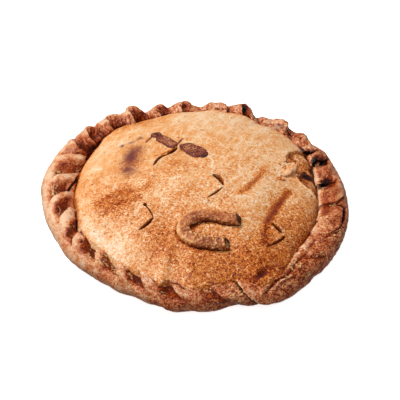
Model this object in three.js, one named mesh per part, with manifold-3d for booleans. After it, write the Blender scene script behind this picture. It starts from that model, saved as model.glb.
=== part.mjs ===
// A round, uncut empanada: a domed lid with four vent slits, a rope-crimped border and
// a bent dough strip on the lid. Millimetres, +Z up, resting on z = 0, front towards -Y.
import * as THREE from 'three';
import { mergeVertices } from 'three/addons/utils/BufferGeometryUtils.js';
import Module from 'manifold-3d';

const DEG = Math.PI / 180;
const TURN = 2 * Math.PI;

// Plan outline of the border: a circle with a two-fold and a three-fold stretch.
const MEAN_RADIUS = 141.2;
const OVAL = { size: 3.8, at: -45 * DEG };
const TRILOBE = { size: 1.9, at: 50 * DEG };
// Moves the uneven outline so that its box is centred on the origin.
const PLAN_SHIFT = { x: 1.9, y: 1.1 };

// Border section: an ellipse whose underside is cut flat by the ground.
const RIM_WIDTH = { mean: 28, swing: 3, at: 185 * DEG };
const CREST_HEIGHT = { mean: 23.5, swing: 3.5, at: 130 * DEG };
const AXIS_HEIGHT_SHARE = 0.46;
// Angles round the section are 0 outwards and 90 on the crest. The lid meets the border in a
// crease on the inner side, which climbs nearly to the crest at the front.
const CREST_ANGLE = 90 * DEG;
const GROUND_ANGLE = -Math.asin(AXIS_HEIGHT_SHARE / (1 - AXIS_HEIGHT_SHARE));
const CREASE = { angle: 146 * DEG, climb: 32 * DEG, at: 262 * DEG };
// Rows round the section from the ground to the crest, then shares of the way to the crease.
const OUTER_ROWS = [GROUND_ANGLE, ...[-45, -28, -6, 16, 38, 60, 80].map((angle) => angle * DEG)];
const INNER_ROWS = [0.15, 0.45, 0.72, 1];

// Rope folds: each rises in a lip and falls slowly to the crease under the next lip. Their
// relief is a share of the section's size and differs a little from fold to fold.
const FOLDS = 30;
const FOLD_RELIEF = { mean: 0.38, swing: 0.1, at: 150 * DEG };
const FOLD_RELIEF_SPREAD = 0.3;
// Share of the relief left at the ground and at the crease, and where it starts to grow.
const GROUND_STRENGTH = 0.3;
const CREASE_STRENGTH = 0.6;
const STRENGTH_START = -40 * DEG;
const FOLD_BELLY = 1.7;
const LIP_SHARE = 0.13;
// Steps across one fold, closer together at the lip.
const FOLD_STEPS = [0, 0.06, 0.13, 0.26, 0.42, 0.58, 0.74, 0.89];
// Unequal spacing of the folds round the border, from three harmonics and a repeatable draw.
const SPACING_START = 2.5 * DEG;
const SPACING_WAVES = [
  { order: 1, size: 5.8 * DEG, at: -110 * DEG },
  { order: 2, size: 3.25 * DEG, at: 119 * DEG },
  { order: 3, size: 1.25 * DEG, at: 146 * DEG },
];
const SPACING_JITTER = 1.4 * DEG;
// Seeds of the repeatable draws, and the factors that scatter them.
const SPACING_SEED = 1;
const RELIEF_SEED = 2;
const DRAW_FACTORS = { fromFold: 12.9898, fromSeed: 78.233, spread: 43758.5453 };
// The folds slant as they cross the border, most of all outside the crest on the right.
const SLANT = { base: 0.06, extra: 0.09, at: 345 * DEG, insideShare: 0.5 };

// A short broken stretch where the border has chipped.
const CHIP = { at: 60 * DEG, halfWidth: 3 * DEG, depth: 0.28 };

// Lid: a dome with a rounded shoulder that drops into the crease.
const CROWN_HEIGHT = 38;
const SHOULDER_HEIGHT = { mean: 23, swing: 1.5, at: 120 * DEG };
const SHOULDER_POWER = 24;
const DOME_POWER = 2.4;
// Rings of the lid from the crease inwards: share of the crease radius and columns kept.
const COLUMNS = FOLDS * FOLD_STEPS.length;
const LID_RINGS = [
  { share: 0.978, columns: COLUMNS },
  { share: 0.945, columns: COLUMNS },
  { share: 0.9, columns: COLUMNS / 2 },
  { share: 0.84, columns: COLUMNS / 2 },
  { share: 0.77, columns: COLUMNS / 2 },
  { share: 0.69, columns: COLUMNS / 2 },
  { share: 0.59, columns: COLUMNS / 4 },
  { share: 0.48, columns: COLUMNS / 4 },
  { share: 0.36, columns: COLUMNS / 8 },
  { share: 0.2, columns: COLUMNS / 8 },
];
// Soft rises and hollows of the lid: centre, reach along and across a bearing, height.
const LID_RELIEF = [
  { x: 66, y: -46, along: 36, across: 8, bearing: 62 * DEG, height: -1.6 },
  { x: 56, y: -20, along: 26, across: 12, bearing: 62 * DEG, height: 1.0 },
  { x: -58, y: -52, along: 34, across: 20, bearing: 135 * DEG, height: 1.2 },
  { x: 100, y: 30, along: 17, across: 10, bearing: 100 * DEG, height: -3.4 },
  { x: 88, y: 26, along: 9, across: 4, bearing: 90 * DEG, height: 1.6 },
];

// Vent slits: the apex of each chevron, its two arms as end offsets, and their gape.
const SLIT_DEPTH = 5;
const SLIT_CLEARANCE = 4;
// Shares of an arm between which it keeps its full gape.
const FULL_GAPE = [0.3, 0.7];
const SLITS = [
  { apex: [-36, -57.5], arms: [[-10.1, 15.4, 2.6], [-12.8, -14.1, 2.6]] },
  { apex: [24.6, -20.4], arms: [[-9.8, 16, 6], [-14.8, -15.6, 2.4]] },
  { apex: [75.5, -71.2], arms: [[-10.1, 10.8, 3.4], [-16.7, -18, 2]] },
  { apex: [-17, 37], arms: [[-20.8, 27.1, 1.8], [-21.9, -27.7, 2.6]] },
];

// Dough strip on the lid: a flattened roll bent like a horseshoe, with blunt ends.
const STRIP_ROUTE = [
  [35, -64.5], [25.5, -63.8], [15, -60.8], [5.5, -60.8], [-2.5, -63.6], [-9.2, -69],
  [-11, -75], [-8, -82], [0.2, -87.3], [12, -90], [24.5, -90.6],
];
const STRIP_WIDTH = 11;
const STRIP_THICKNESS = 5.5;
const STRIP_STATIONS = 44;
const STRIP_SIDES = 9;
const STRIP_ROUNDING = 4;
// Height of the strip's upright edge as a share of its thickness.
const STRIP_EDGE_SHARE = 0.4;
const SEAT_GAP = 0.3;

const CRUST_MATERIAL = new THREE.MeshStandardMaterial({ color: 0xc98545, roughness: 0.62, metalness: 0 });
const STRIP_MATERIAL = new THREE.MeshStandardMaterial({ color: 0xb9743a, roughness: 0.6, metalness: 0 });

// A value that swings round the pie once: mean plus a cosine.
function swing({ mean, swing: size, at }, theta) {
  return mean + size * Math.cos(theta - at);
}

// Outer radius of the border at an angle.
function outlineRadius(theta) {
  const oval = OVAL.size * Math.cos(2 * (theta - OVAL.at));
  const trilobe = TRILOBE.size * Math.cos(3 * (theta - TRILOBE.at));
  return MEAN_RADIUS + oval + trilobe;
}

// A repeatable number from -0.5 to 0.5 for each fold, the same on every run.
function foldDraw(fold, seed) {
  const { fromFold, fromSeed, spread } = DRAW_FACTORS;
  const value = Math.sin(((fold % FOLDS) + 1) * fromFold + seed * fromSeed) * spread;
  return value - Math.floor(value) - 0.5;
}

// Angle on the crest at a place counted in folds, such as 3.5 for halfway along fold 3.
function crestAngle(place) {
  const even = (place / FOLDS) * TURN;
  const waves = SPACING_WAVES.reduce((sum, wave) => sum + wave.size * Math.cos(wave.order * even - wave.at), 0);
  const fold = Math.floor(place);
  const share = place - fold;
  const jitter = THREE.MathUtils.lerp(foldDraw(fold, SPACING_SEED), foldDraw(fold + 1, SPACING_SEED), share);
  return even + SPACING_START + waves + SPACING_JITTER * jitter;
}

// Height of a fold from 0 in its crease to 1 on its lip, at a share of the way along it.
function foldHeight(share) {
  if (share < LIP_SHARE) return Math.sin((share / LIP_SHARE) * (Math.PI / 2));
  return 1 - ((share - LIP_SHARE) / (1 - LIP_SHARE)) ** FOLD_BELLY;
}

// How strongly the folds stand out round the section: most on the crest, less towards the
// ground and the crease.
function foldStrength(phi) {
  const outside = THREE.MathUtils.smoothstep(phi, STRENGTH_START, CREST_ANGLE);
  const inside = THREE.MathUtils.smoothstep(phi, CREST_ANGLE, CREASE.angle);
  return GROUND_STRENGTH + (1 - GROUND_STRENGTH) * outside - (1 - CREASE_STRENGTH) * inside;
}

// Angle round the section at which the lid meets the border.
function creaseAngle(theta) {
  return CREASE.angle - CREASE.climb * Math.max(0, Math.cos(theta - CREASE.at)) ** 2;
}

// Point on the border's skin at a place counted in folds and an angle round its section.
function rimPoint(place, phi) {
  const crest = crestAngle(place);
  const slant = SLANT.base + SLANT.extra * Math.max(0, Math.cos(crest - SLANT.at)) ** 2;
  const theta = crest - slant * (phi - CREST_ANGLE) * (phi > CREST_ANGLE ? SLANT.insideShare : 1);
  const fold = Math.floor(place);
  const relief = swing(FOLD_RELIEF, theta) * (1 + FOLD_RELIEF_SPREAD * foldDraw(fold, RELIEF_SEED));
  const sunk = relief * foldStrength(phi) * (1 - foldHeight(place - fold));
  const chip = CHIP.depth * Math.exp(-(((theta - CHIP.at) / CHIP.halfWidth) ** 2)) * Math.max(0, Math.sin(phi));
  const scale = 1 - sunk - chip;
  const halfWidth = swing(RIM_WIDTH, theta) / 2;
  const crestHeight = swing(CREST_HEIGHT, theta);
  const axisHeight = crestHeight * AXIS_HEIGHT_SHARE;
  const radius = outlineRadius(theta) - halfWidth + halfWidth * scale * Math.cos(phi);
  const rise = (crestHeight - axisHeight) * (phi < 0 ? 1 : scale);
  return { theta, radius, z: Math.max(0, axisHeight + rise * Math.sin(phi)) };
}

// Radius and height of the crease between border and lid at an angle, without the folds.
function creaseAt(theta) {
  const phi = creaseAngle(theta);
  const halfWidth = swing(RIM_WIDTH, theta) / 2;
  const crestHeight = swing(CREST_HEIGHT, theta);
  const rise = crestHeight * (1 - AXIS_HEIGHT_SHARE) * Math.sin(phi);
  return {
    radius: outlineRadius(theta) - halfWidth + halfWidth * Math.cos(phi),
    z: crestHeight * AXIS_HEIGHT_SHARE + rise,
  };
}

// Sum of the lid's soft rises and hollows.
function lidRelief(x, y) {
  return LID_RELIEF.reduce((sum, bump) => {
    const dx = x - bump.x;
    const dy = y - bump.y;
    const along = (dx * Math.cos(bump.bearing) + dy * Math.sin(bump.bearing)) / bump.along;
    const across = (dy * Math.cos(bump.bearing) - dx * Math.sin(bump.bearing)) / bump.across;
    return sum + bump.height * Math.exp(-(along * along + across * across));
  }, 0);
}

// Height of the lid over a point of the plan.
function lidHeight(x, y) {
  const theta = Math.atan2(y, x);
  const crease = creaseAt(theta);
  const share = Math.min(1, Math.hypot(x, y) / crease.radius);
  const shoulder = SHOULDER_HEIGHT.mean + share * (swing(SHOULDER_HEIGHT, theta) - SHOULDER_HEIGHT.mean);
  const edge = Math.sqrt(1 - share ** SHOULDER_POWER);
  const dome = (CROWN_HEIGHT - shoulder) * (1 - share ** DOME_POWER);
  return THREE.MathUtils.lerp(crease.z, shoulder, edge) + dome + lidRelief(x, y) * edge;
}

// Closed geometry from vertex coordinates and triangles of their numbers.
function geometryFrom(positions, triangles) {
  const geometry = new THREE.BufferGeometry();
  geometry.setAttribute('position', new THREE.Float32BufferAttribute(positions, 3));
  geometry.setIndex(triangles);
  return geometry;
}

// Joins two rings of vertices; the inner ring has as many columns as the outer or half of them.
function joinRings(triangles, outer, inner) {
  const ratio = outer.count / inner.count;
  for (let i = 0; i < inner.count; i += 1) {
    const next = (i + 1) % inner.count;
    const a = outer.first + i * ratio;
    const c = outer.first + (((i + 1) * ratio) % outer.count);
    const b = ratio === 2 ? a + 1 : c;
    triangles.push(a, b, inner.first + i);
    if (ratio === 2) triangles.push(b, c, inner.first + i);
    triangles.push(c, inner.first + next, inner.first + i);
  }
}

// Closes a ring with a fan about a centre vertex.
function closeRing(triangles, ring, centre, upward) {
  for (let i = 0; i < ring.count; i += 1) {
    const a = ring.first + i;
    const b = ring.first + ((i + 1) % ring.count);
    if (upward) triangles.push(a, b, centre);
    else triangles.push(b, a, centre);
  }
}

// Skin of the whole pie: ground, border from the ground up to the crease, then the lid.
function crustGeometry() {
  const positions = [];
  const triangles = [];
  const addVertex = (x, y, z) => positions.push(x, y, z) / 3 - 1;

  const places = Array.from({ length: COLUMNS }, (_, column) => {
    const fold = Math.floor(column / FOLD_STEPS.length);
    return fold + FOLD_STEPS[column % FOLD_STEPS.length];
  });
  const innerAngle = (place, share) => (
    CREST_ANGLE + share * (creaseAngle(crestAngle(place)) - CREST_ANGLE)
  );
  const rowAngles = [
    ...OUTER_ROWS.map((phi) => () => phi),
    ...INNER_ROWS.map((share) => (place) => innerAngle(place, share)),
  ];
  const rimRings = rowAngles.map((angleAt) => {
    const first = positions.length / 3;
    places.forEach((place) => {
      const { theta, radius, z } = rimPoint(place, angleAt(place));
      addVertex(radius * Math.cos(theta), radius * Math.sin(theta), z);
    });
    return { first, count: COLUMNS };
  });
  const lidRings = LID_RINGS.map(({ share, columns }) => {
    const first = positions.length / 3;
    for (let column = 0; column < columns; column += 1) {
      const place = places[(column * COLUMNS) / columns];
      const { theta } = rimPoint(place, innerAngle(place, 1));
      const radius = creaseAt(theta).radius * share;
      const x = radius * Math.cos(theta);
      const y = radius * Math.sin(theta);
      addVertex(x, y, lidHeight(x, y));
    }
    return { first, count: columns };
  });

  const rings = [...rimRings, ...lidRings];
  for (let i = 0; i + 1 < rings.length; i += 1) joinRings(triangles, rings[i], rings[i + 1]);
  closeRing(triangles, rings[0], addVertex(0, 0, 0), false);
  closeRing(triangles, rings.at(-1), addVertex(0, 0, lidHeight(0, 0)), true);
  return geometryFrom(positions, triangles);
}

// Upright blade that cuts one arm of a slit: a slim lens from the apex to the arm's end.
function slitArmGeometry([apexX, apexY], [dx, dy, gape]) {
  const apex = new THREE.Vector2(apexX, apexY);
  const arm = new THREE.Vector2(dx, dy);
  const side = new THREE.Vector2(-dy, dx).setLength(gape / 2);
  const along = (share, sideways) => apex.clone().addScaledVector(arm, share).addScaledVector(side, sideways);
  const [open, close] = FULL_GAPE;
  const overrun = gape / 2 / arm.length();
  const outline = new THREE.Shape([
    along(-overrun, 0), along(open, -1), along(close, -1), along(1, 0), along(close, 1), along(open, 1),
  ]);
  const middle = along(0.5, 0);
  const floor = lidHeight(middle.x, middle.y) - SLIT_DEPTH;
  const blade = new THREE.ExtrudeGeometry(outline, { depth: SLIT_DEPTH + SLIT_CLEARANCE, bevelEnabled: false });
  return blade.translate(0, 0, floor);
}

// Flattened roll swept along the strip's route, its underside following the lid.
function stripGeometry() {
  const points = STRIP_ROUTE.map(([x, y]) => new THREE.Vector3(x, y, 0));
  const route = new THREE.CatmullRomCurve3(points, false, 'centripetal');
  const positions = [];
  const triangles = [];
  const ringSize = 2 * STRIP_SIDES;
  for (let station = 0; station <= STRIP_STATIONS; station += 1) {
    const along = station / STRIP_STATIONS;
    const centre = route.getPointAt(along);
    const tangent = route.getTangentAt(along);
    const addPoint = (side, lift) => {
      const x = centre.x - tangent.y * side * (STRIP_WIDTH / 2);
      const y = centre.y + tangent.x * side * (STRIP_WIDTH / 2);
      positions.push(x, y, lidHeight(x, y) + SEAT_GAP + lift);
    };
    const sides = Array.from({ length: STRIP_SIDES }, (_, i) => Math.cos((i / (STRIP_SIDES - 1)) * Math.PI));
    sides.forEach((side) => {
      const share = Math.max(1 - Math.abs(side) ** STRIP_ROUNDING, STRIP_EDGE_SHARE);
      addPoint(side, share * STRIP_THICKNESS);
    });
    sides.reverse().forEach((side) => addPoint(side, 0));
  }
  for (let station = 0; station < STRIP_STATIONS; station += 1) {
    for (let i = 0; i < ringSize; i += 1) {
      const a = station * ringSize + i;
      const b = station * ringSize + ((i + 1) % ringSize);
      triangles.push(a, b, a + ringSize, b, b + ringSize, a + ringSize);
    }
  }
  const end = STRIP_STATIONS * ringSize;
  for (let i = 0; i + 1 < STRIP_SIDES; i += 1) {
    const under = ringSize - 1 - i;
    triangles.push(i, under, i + 1, i + 1, under, under - 1);
    triangles.push(end + i, end + i + 1, end + under, end + i + 1, end + under - 1, end + under);
  }
  return geometryFrom(positions, triangles);
}

const wasm = await Module();
wasm.setup();

// Solid body of a closed geometry, with only its merged positions kept.
function toSolid(geometry) {
  geometry.deleteAttribute('normal');
  geometry.deleteAttribute('uv');
  const merged = mergeVertices(geometry);
  return new wasm.Manifold(new wasm.Mesh({
    numProp: 3,
    vertProperties: merged.attributes.position.array,
    triVerts: Uint32Array.from(merged.index.array),
  }));
}

// Geometry of a solid body.
function fromSolid(solid) {
  const { vertProperties, triVerts } = solid.getMesh();
  const geometry = geometryFrom(Array.from(vertProperties), Array.from(triVerts));
  geometry.computeVertexNormals();
  return geometry;
}

function namedMesh(name, geometry, material) {
  const mesh = new THREE.Mesh(geometry, material);
  mesh.name = name;
  return mesh;
}

const blades = SLITS.flatMap(({ apex, arms }) => arms.map((arm) => slitArmGeometry(apex, arm)));
const crust = blades.reduce((solid, blade) => solid.subtract(toSolid(blade)), toSolid(crustGeometry()));

const empanada = new THREE.Group();
empanada.position.set(PLAN_SHIFT.x, PLAN_SHIFT.y, 0);
empanada.add(namedMesh('crust', fromSolid(crust), CRUST_MATERIAL));
empanada.add(namedMesh('dough_strip', fromSolid(toSolid(stripGeometry())), STRIP_MATERIAL));

export default empanada;
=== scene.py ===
"""Dresses a round empanada: domed lid, rope border, bent dough strip, baked-on juice and flakes.

Shapes are worked out in millimetres in the pie's plan frame, with angles counted from +X,
and go into the meshes in metres.
"""
import logging
from dataclasses import dataclass, replace
from enum import Enum

import bpy
import numpy as np
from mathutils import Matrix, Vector


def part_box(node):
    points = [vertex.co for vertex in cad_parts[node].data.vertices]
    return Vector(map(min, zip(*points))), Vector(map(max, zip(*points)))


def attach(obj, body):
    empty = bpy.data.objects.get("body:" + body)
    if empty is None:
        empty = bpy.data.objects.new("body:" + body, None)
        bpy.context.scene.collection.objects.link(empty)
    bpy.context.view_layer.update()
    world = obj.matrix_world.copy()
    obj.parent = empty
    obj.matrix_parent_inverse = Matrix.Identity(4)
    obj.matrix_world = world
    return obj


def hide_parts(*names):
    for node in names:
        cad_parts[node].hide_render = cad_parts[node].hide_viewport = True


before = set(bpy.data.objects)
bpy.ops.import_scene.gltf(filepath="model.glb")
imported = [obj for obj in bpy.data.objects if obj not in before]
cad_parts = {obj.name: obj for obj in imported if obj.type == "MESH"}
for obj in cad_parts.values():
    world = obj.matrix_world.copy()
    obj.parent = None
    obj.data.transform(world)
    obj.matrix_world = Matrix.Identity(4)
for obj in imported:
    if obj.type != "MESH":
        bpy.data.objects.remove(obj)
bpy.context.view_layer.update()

LOG = logging.getLogger("empanada")
SHARP_ANGLE = np.radians(50.0)
MM = 0.001
TURN = 2.0 * np.pi
FOLDS = 30
Array = np.ndarray
Body = tuple[Array, list[list[int]]]
Pair = tuple[float, float]
Pairs = tuple[Pair, ...]
Triple = tuple[float, float, float]
Stops = tuple[tuple[float, str], ...]
Colour = tuple[float, float, float, float]
Socket = bpy.types.NodeSocket


class Slot(Enum):
    """Material slots of the part's record."""

    LID = "lid_crust"
    BORDER = "border_crust"
    STRIP = "strip_crust"
    JUICE = "baked_juice"


class Mask(Enum):
    """Vertex attributes that tell a crust's finish where the marks of baking lie; the toast and char masks
    also carry painted shade and painted light.
    """

    TOAST_AND_SHADE = "toast_and_shade"
    STAIN = "stain"
    PALE = "pale"
    CHAR_AND_SHADE = "char"
    SMOOTH = "smooth"


def tone(code: str) -> Colour:
    """Linear colour of a six-digit screen colour: each channel has its display curve undone.

    Args:
        code: red, green and blue as hexadecimal digits.

    Returns:
        The linear colour with full alpha.
    """
    screen = np.array([int(code[i:i + 2], 16) for i in (0, 2, 4)]) / 255.0
    linear = np.where(screen <= 0.04045, screen / 12.92, ((screen + 0.055) / 1.055) ** 2.4)
    return (*linear.tolist(), 1.0)


def ease(value: Array, start: float, end: float) -> Array:
    """Smooth step from 0 at start to 1 at end: 3t^2 - 2t^3 of the clamped share t."""
    share = np.clip((value - start) / (end - start), 0.0, 1.0)
    return share * share * (3.0 - 2.0 * share)


def bell(value: Array, centre: float, reach: float) -> Array:
    """Gaussian bell of height 1 at the centre: e to the minus squared distance in reaches."""
    return np.exp(-(((value - centre) / reach) ** 2))


def ease_degrees(angle: Array, start: float, end: float) -> Array:
    """Smooth step of an angle in radians, from 0 at start to 1 at end, both in degrees."""
    return ease(angle, np.radians(start), np.radians(end))


def fold_gap(place: Array, at: float) -> Array:
    """Signed distance in folds from a place on the border, the short way round."""
    return (place - at + FOLDS / 2.0) % FOLDS - FOLDS / 2.0


def flat_points(x: Array, y: Array, level: float = 0.0) -> Array:
    """Plan coordinates as points that all lie at one level."""
    return np.stack([x, y, np.full_like(x, level)], axis=-1)


def sideways(line: Array) -> Array:
    """Unit vectors across a plan line, to the left of its run.

    Args:
        line: plan points, one to a row.

    Returns:
        One vector for each point.
    """
    along = np.gradient(line, axis=0)
    across = np.stack([-along[:, 1], along[:, 0]], axis=-1)
    return across / np.linalg.norm(across, axis=-1, keepdims=True)


def hash_unit(cell: Array, seed: int) -> Array:
    """Repeatable numbers from 0 to 1 for whole-number cells: the fraction of a large sine.

    Args:
        cell: cell numbers, the last axis being x, y, z.
        seed: number of the draw.

    Returns:
        One number for each cell.
    """
    mixed = cell[..., 0] * 12.9898 + cell[..., 1] * 78.233 + cell[..., 2] * 37.719
    value = np.sin(mixed + seed * 19.19) * 43758.5453
    return value - np.floor(value)


def grain(points: Array, size: float, octaves: int, seed: int) -> Array:
    """Fractal noise from about -1 to 1: draws on a lattice, blended smoothly between its corners.

    Each octave halves the lattice and its weight.

    Args:
        points: places, the last axis being x, y, z.
        size: lattice spacing of the first octave.
        octaves: how many layers are summed.
        seed: number of the draw.

    Returns:
        One number for each point.
    """
    total = np.zeros(points.shape[:-1])
    reach = 0.0
    for octave in range(octaves):
        weight = 0.5 ** octave
        spot = points / (size * weight)
        cell = np.floor(spot)
        part = spot - cell
        smooth = part * part * (3.0 - 2.0 * part)
        layer = np.zeros_like(total)
        for corner in np.ndindex(2, 2, 2):
            step = np.array(corner)
            share = np.prod(np.where(step == 1, smooth, 1.0 - smooth), axis=-1)
            layer += share * hash_unit(cell + step, seed + octave)
        total += weight * (2.0 * layer - 1.0)
        reach += weight
    return total / reach


def blisters(points: Array, size: float, filled: float, seed: int) -> Array:
    """Domes from 0 to 1, at most one to a cubic cell: 1 minus the squared distance in radii.

    Args:
        points: places, the last axis being x, y, z.
        size: side of a cell.
        filled: share of the cells that hold a dome.
        seed: number of the draw.

    Returns:
        Height of the highest dome over each point.
    """
    spot = points / size
    cell = np.floor(spot)
    top = np.zeros(points.shape[:-1])
    for corner in np.ndindex(3, 3, 3):
        near = cell + np.array(corner) - 1.0
        centre = near + np.stack([hash_unit(near, seed + axis) for axis in range(3)], axis=-1)
        radius = 0.3 + 0.4 * hash_unit(near, seed + 3)
        dome = 1.0 - (np.linalg.norm(spot - centre, axis=-1) / radius) ** 2
        top = np.maximum(top, np.where(hash_unit(near, seed + 4) < filled, dome, 0.0))
    return top


def path_distance(x: Array, y: Array, path: Pairs) -> Array:
    """Distance of points from a bent path: the least distance to any of its straight pieces.

    Args:
        x: first coordinate of the points.
        y: second coordinate of the points.
        path: corners of the path.

    Returns:
        One distance for each point.
    """
    nearest = np.full(np.shape(x), np.inf)
    for (x0, y0), (x1, y1) in zip(path, path[1:]):
        length = np.hypot(x1 - x0, y1 - y0)
        share = np.clip(((x - x0) * (x1 - x0) + (y - y0) * (y1 - y0)) / length ** 2, 0.0, 1.0)
        nearest = np.minimum(nearest, np.hypot(x - x0 - share * (x1 - x0), y - y0 - share * (y1 - y0)))
    return nearest


@dataclass(frozen=True)
class Noise:
    """A noise with a name: its share, lattice spacing, octaves and number of the draw."""

    share: float
    size: float
    octaves: int
    seed: int

    def at(self, points: Array) -> Array:
        """Share times the fractal noise at the points."""
        return self.share * grain(points, self.size, self.octaves, self.seed)


@dataclass(frozen=True)
class Blot:
    """A soft oval patch on the lid: centre, reach along and across a bearing, and strength."""

    x: float
    y: float
    along: float
    across: float
    bearing: float
    strength: float

    def over(self, x: Array, y: Array) -> Array:
        """Strength times a gaussian of the squared distances along and across, in reaches.

        Args:
            x: plan coordinate to the right.
            y: plan coordinate to the back.

        Returns:
            One value for each point.
        """
        turn = np.radians(self.bearing)
        along = ((x - self.x) * np.cos(turn) + (y - self.y) * np.sin(turn)) / self.along
        across = ((y - self.y) * np.cos(turn) - (x - self.x) * np.sin(turn)) / self.across
        return self.strength * np.exp(-(along * along + across * across))


@dataclass(frozen=True)
class Streak:
    """A soft line on the lid along a bent path, with its half width and strength."""

    path: Pairs
    reach: float
    strength: float

    def over(self, x: Array, y: Array) -> Array:
        """Strength times a gaussian of the distance from the path."""
        return self.strength * bell(path_distance(x, y, self.path), 0.0, self.reach)


def grid_quads(rows: int, columns: int, wrap: bool) -> Array:
    """Quads of a grid whose vertices are numbered row by row.

    Args:
        rows: rows of vertices.
        columns: columns of vertices.
        wrap: whether the last column joins the first.

    Returns:
        Four vertex numbers for each quad.
    """
    column = np.arange(columns if wrap else columns - 1)
    here = (np.arange(rows - 1)[:, None] * columns + column).ravel()
    side = (np.arange(rows - 1)[:, None] * columns + (column + 1) % columns).ravel()
    return np.stack([here, side, side + columns, here + columns], axis=1)


def lump_shape(rows: int, columns: int) -> tuple[Array, Array, list[list[int]]]:
    """Closed ball grid: rings from pole to pole, with fans of triangles at both ends.

    Args:
        rows: rings between the poles.
        columns: vertices in a ring.

    Returns:
        Polar angles and turns of the vertices, and the faces.
    """
    polar = np.arange(1, rows + 1) / (rows + 1) * np.pi
    turn = np.arange(columns) / columns * TURN
    polars = np.concatenate([np.repeat(polar, columns), [0.0, np.pi]])
    turns = np.concatenate([np.tile(turn, rows), [0.0, 0.0]])
    faces = grid_quads(rows, columns, True)[:, ::-1].tolist()
    first = np.arange(columns)
    after = (first + 1) % columns
    top = rows * columns
    last = top - columns
    faces += np.stack([first, after, np.full(columns, top)], axis=1).tolist()
    faces += np.stack([last + after, last + first, np.full(columns, top + 1)], axis=1).tolist()
    return polars, turns, faces


@dataclass(frozen=True)
class Swing:
    """A size that swings once round the pie: its mean plus a cosine that peaks at an angle."""

    mean: float
    size: float
    at: float

    def around(self, theta: Array) -> Array:
        """Size at the angles theta."""
        return self.mean + self.size * np.cos(theta - np.radians(self.at))


# Lid's edge: angles round the pie, and section angles of the border at which the lid meets it.
LID_EDGE = (
    (-2, 152), (7, 152), (23, 150), (34, 141), (41, 137), (53, 135), (57, 128), (60, 123), (62, 129),
    (66, 122), (71, 123), (76, 126), (82, 120), (86, 128), (90, 135), (97, 136), (102, 138), (108, 147),
    (114, 151), (122, 152), (127, 143), (133, 138), (138, 142), (142, 141), (147, 150), (157, 152),
    (171, 151), (185, 150), (196, 148), (203, 133), (211, 113), (215, 103), (219, 101), (224, 106),
    (229, 103), (234, 100), (238, 93), (244, 92), (250, 96), (252, 92), (257, 70), (258, 80), (260, 99),
    (263, 100), (269, 69), (270, 82), (275, 92), (278, 104), (282, 111), (285, 113), (288, 104),
    (290, 90), (292, 72), (293, 58), (294, 59), (297, 70), (299, 75), (302, 82), (305, 99), (309, 112),
    (312, 122), (314, 138), (318, 148), (330, 152),
)
# Wider overlap of the border: angles round the pie, and millimetres that it reaches further in.
LID_INSETS = (
    (-62, 0), (-52, 2.6), (-42, 4.4), (-10, 5.2), (0, 5.2), (8, 4.4), (15, 2.4), (22, 0), (50, 0),
    (54, 2), (57.5, 6), (61, 2), (64, 0), (128, 0), (140, 2.5), (147, 4.8), (158, 6), (169, 5.6),
    (178, 5), (186, 1.8), (196, 0),
)


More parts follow.
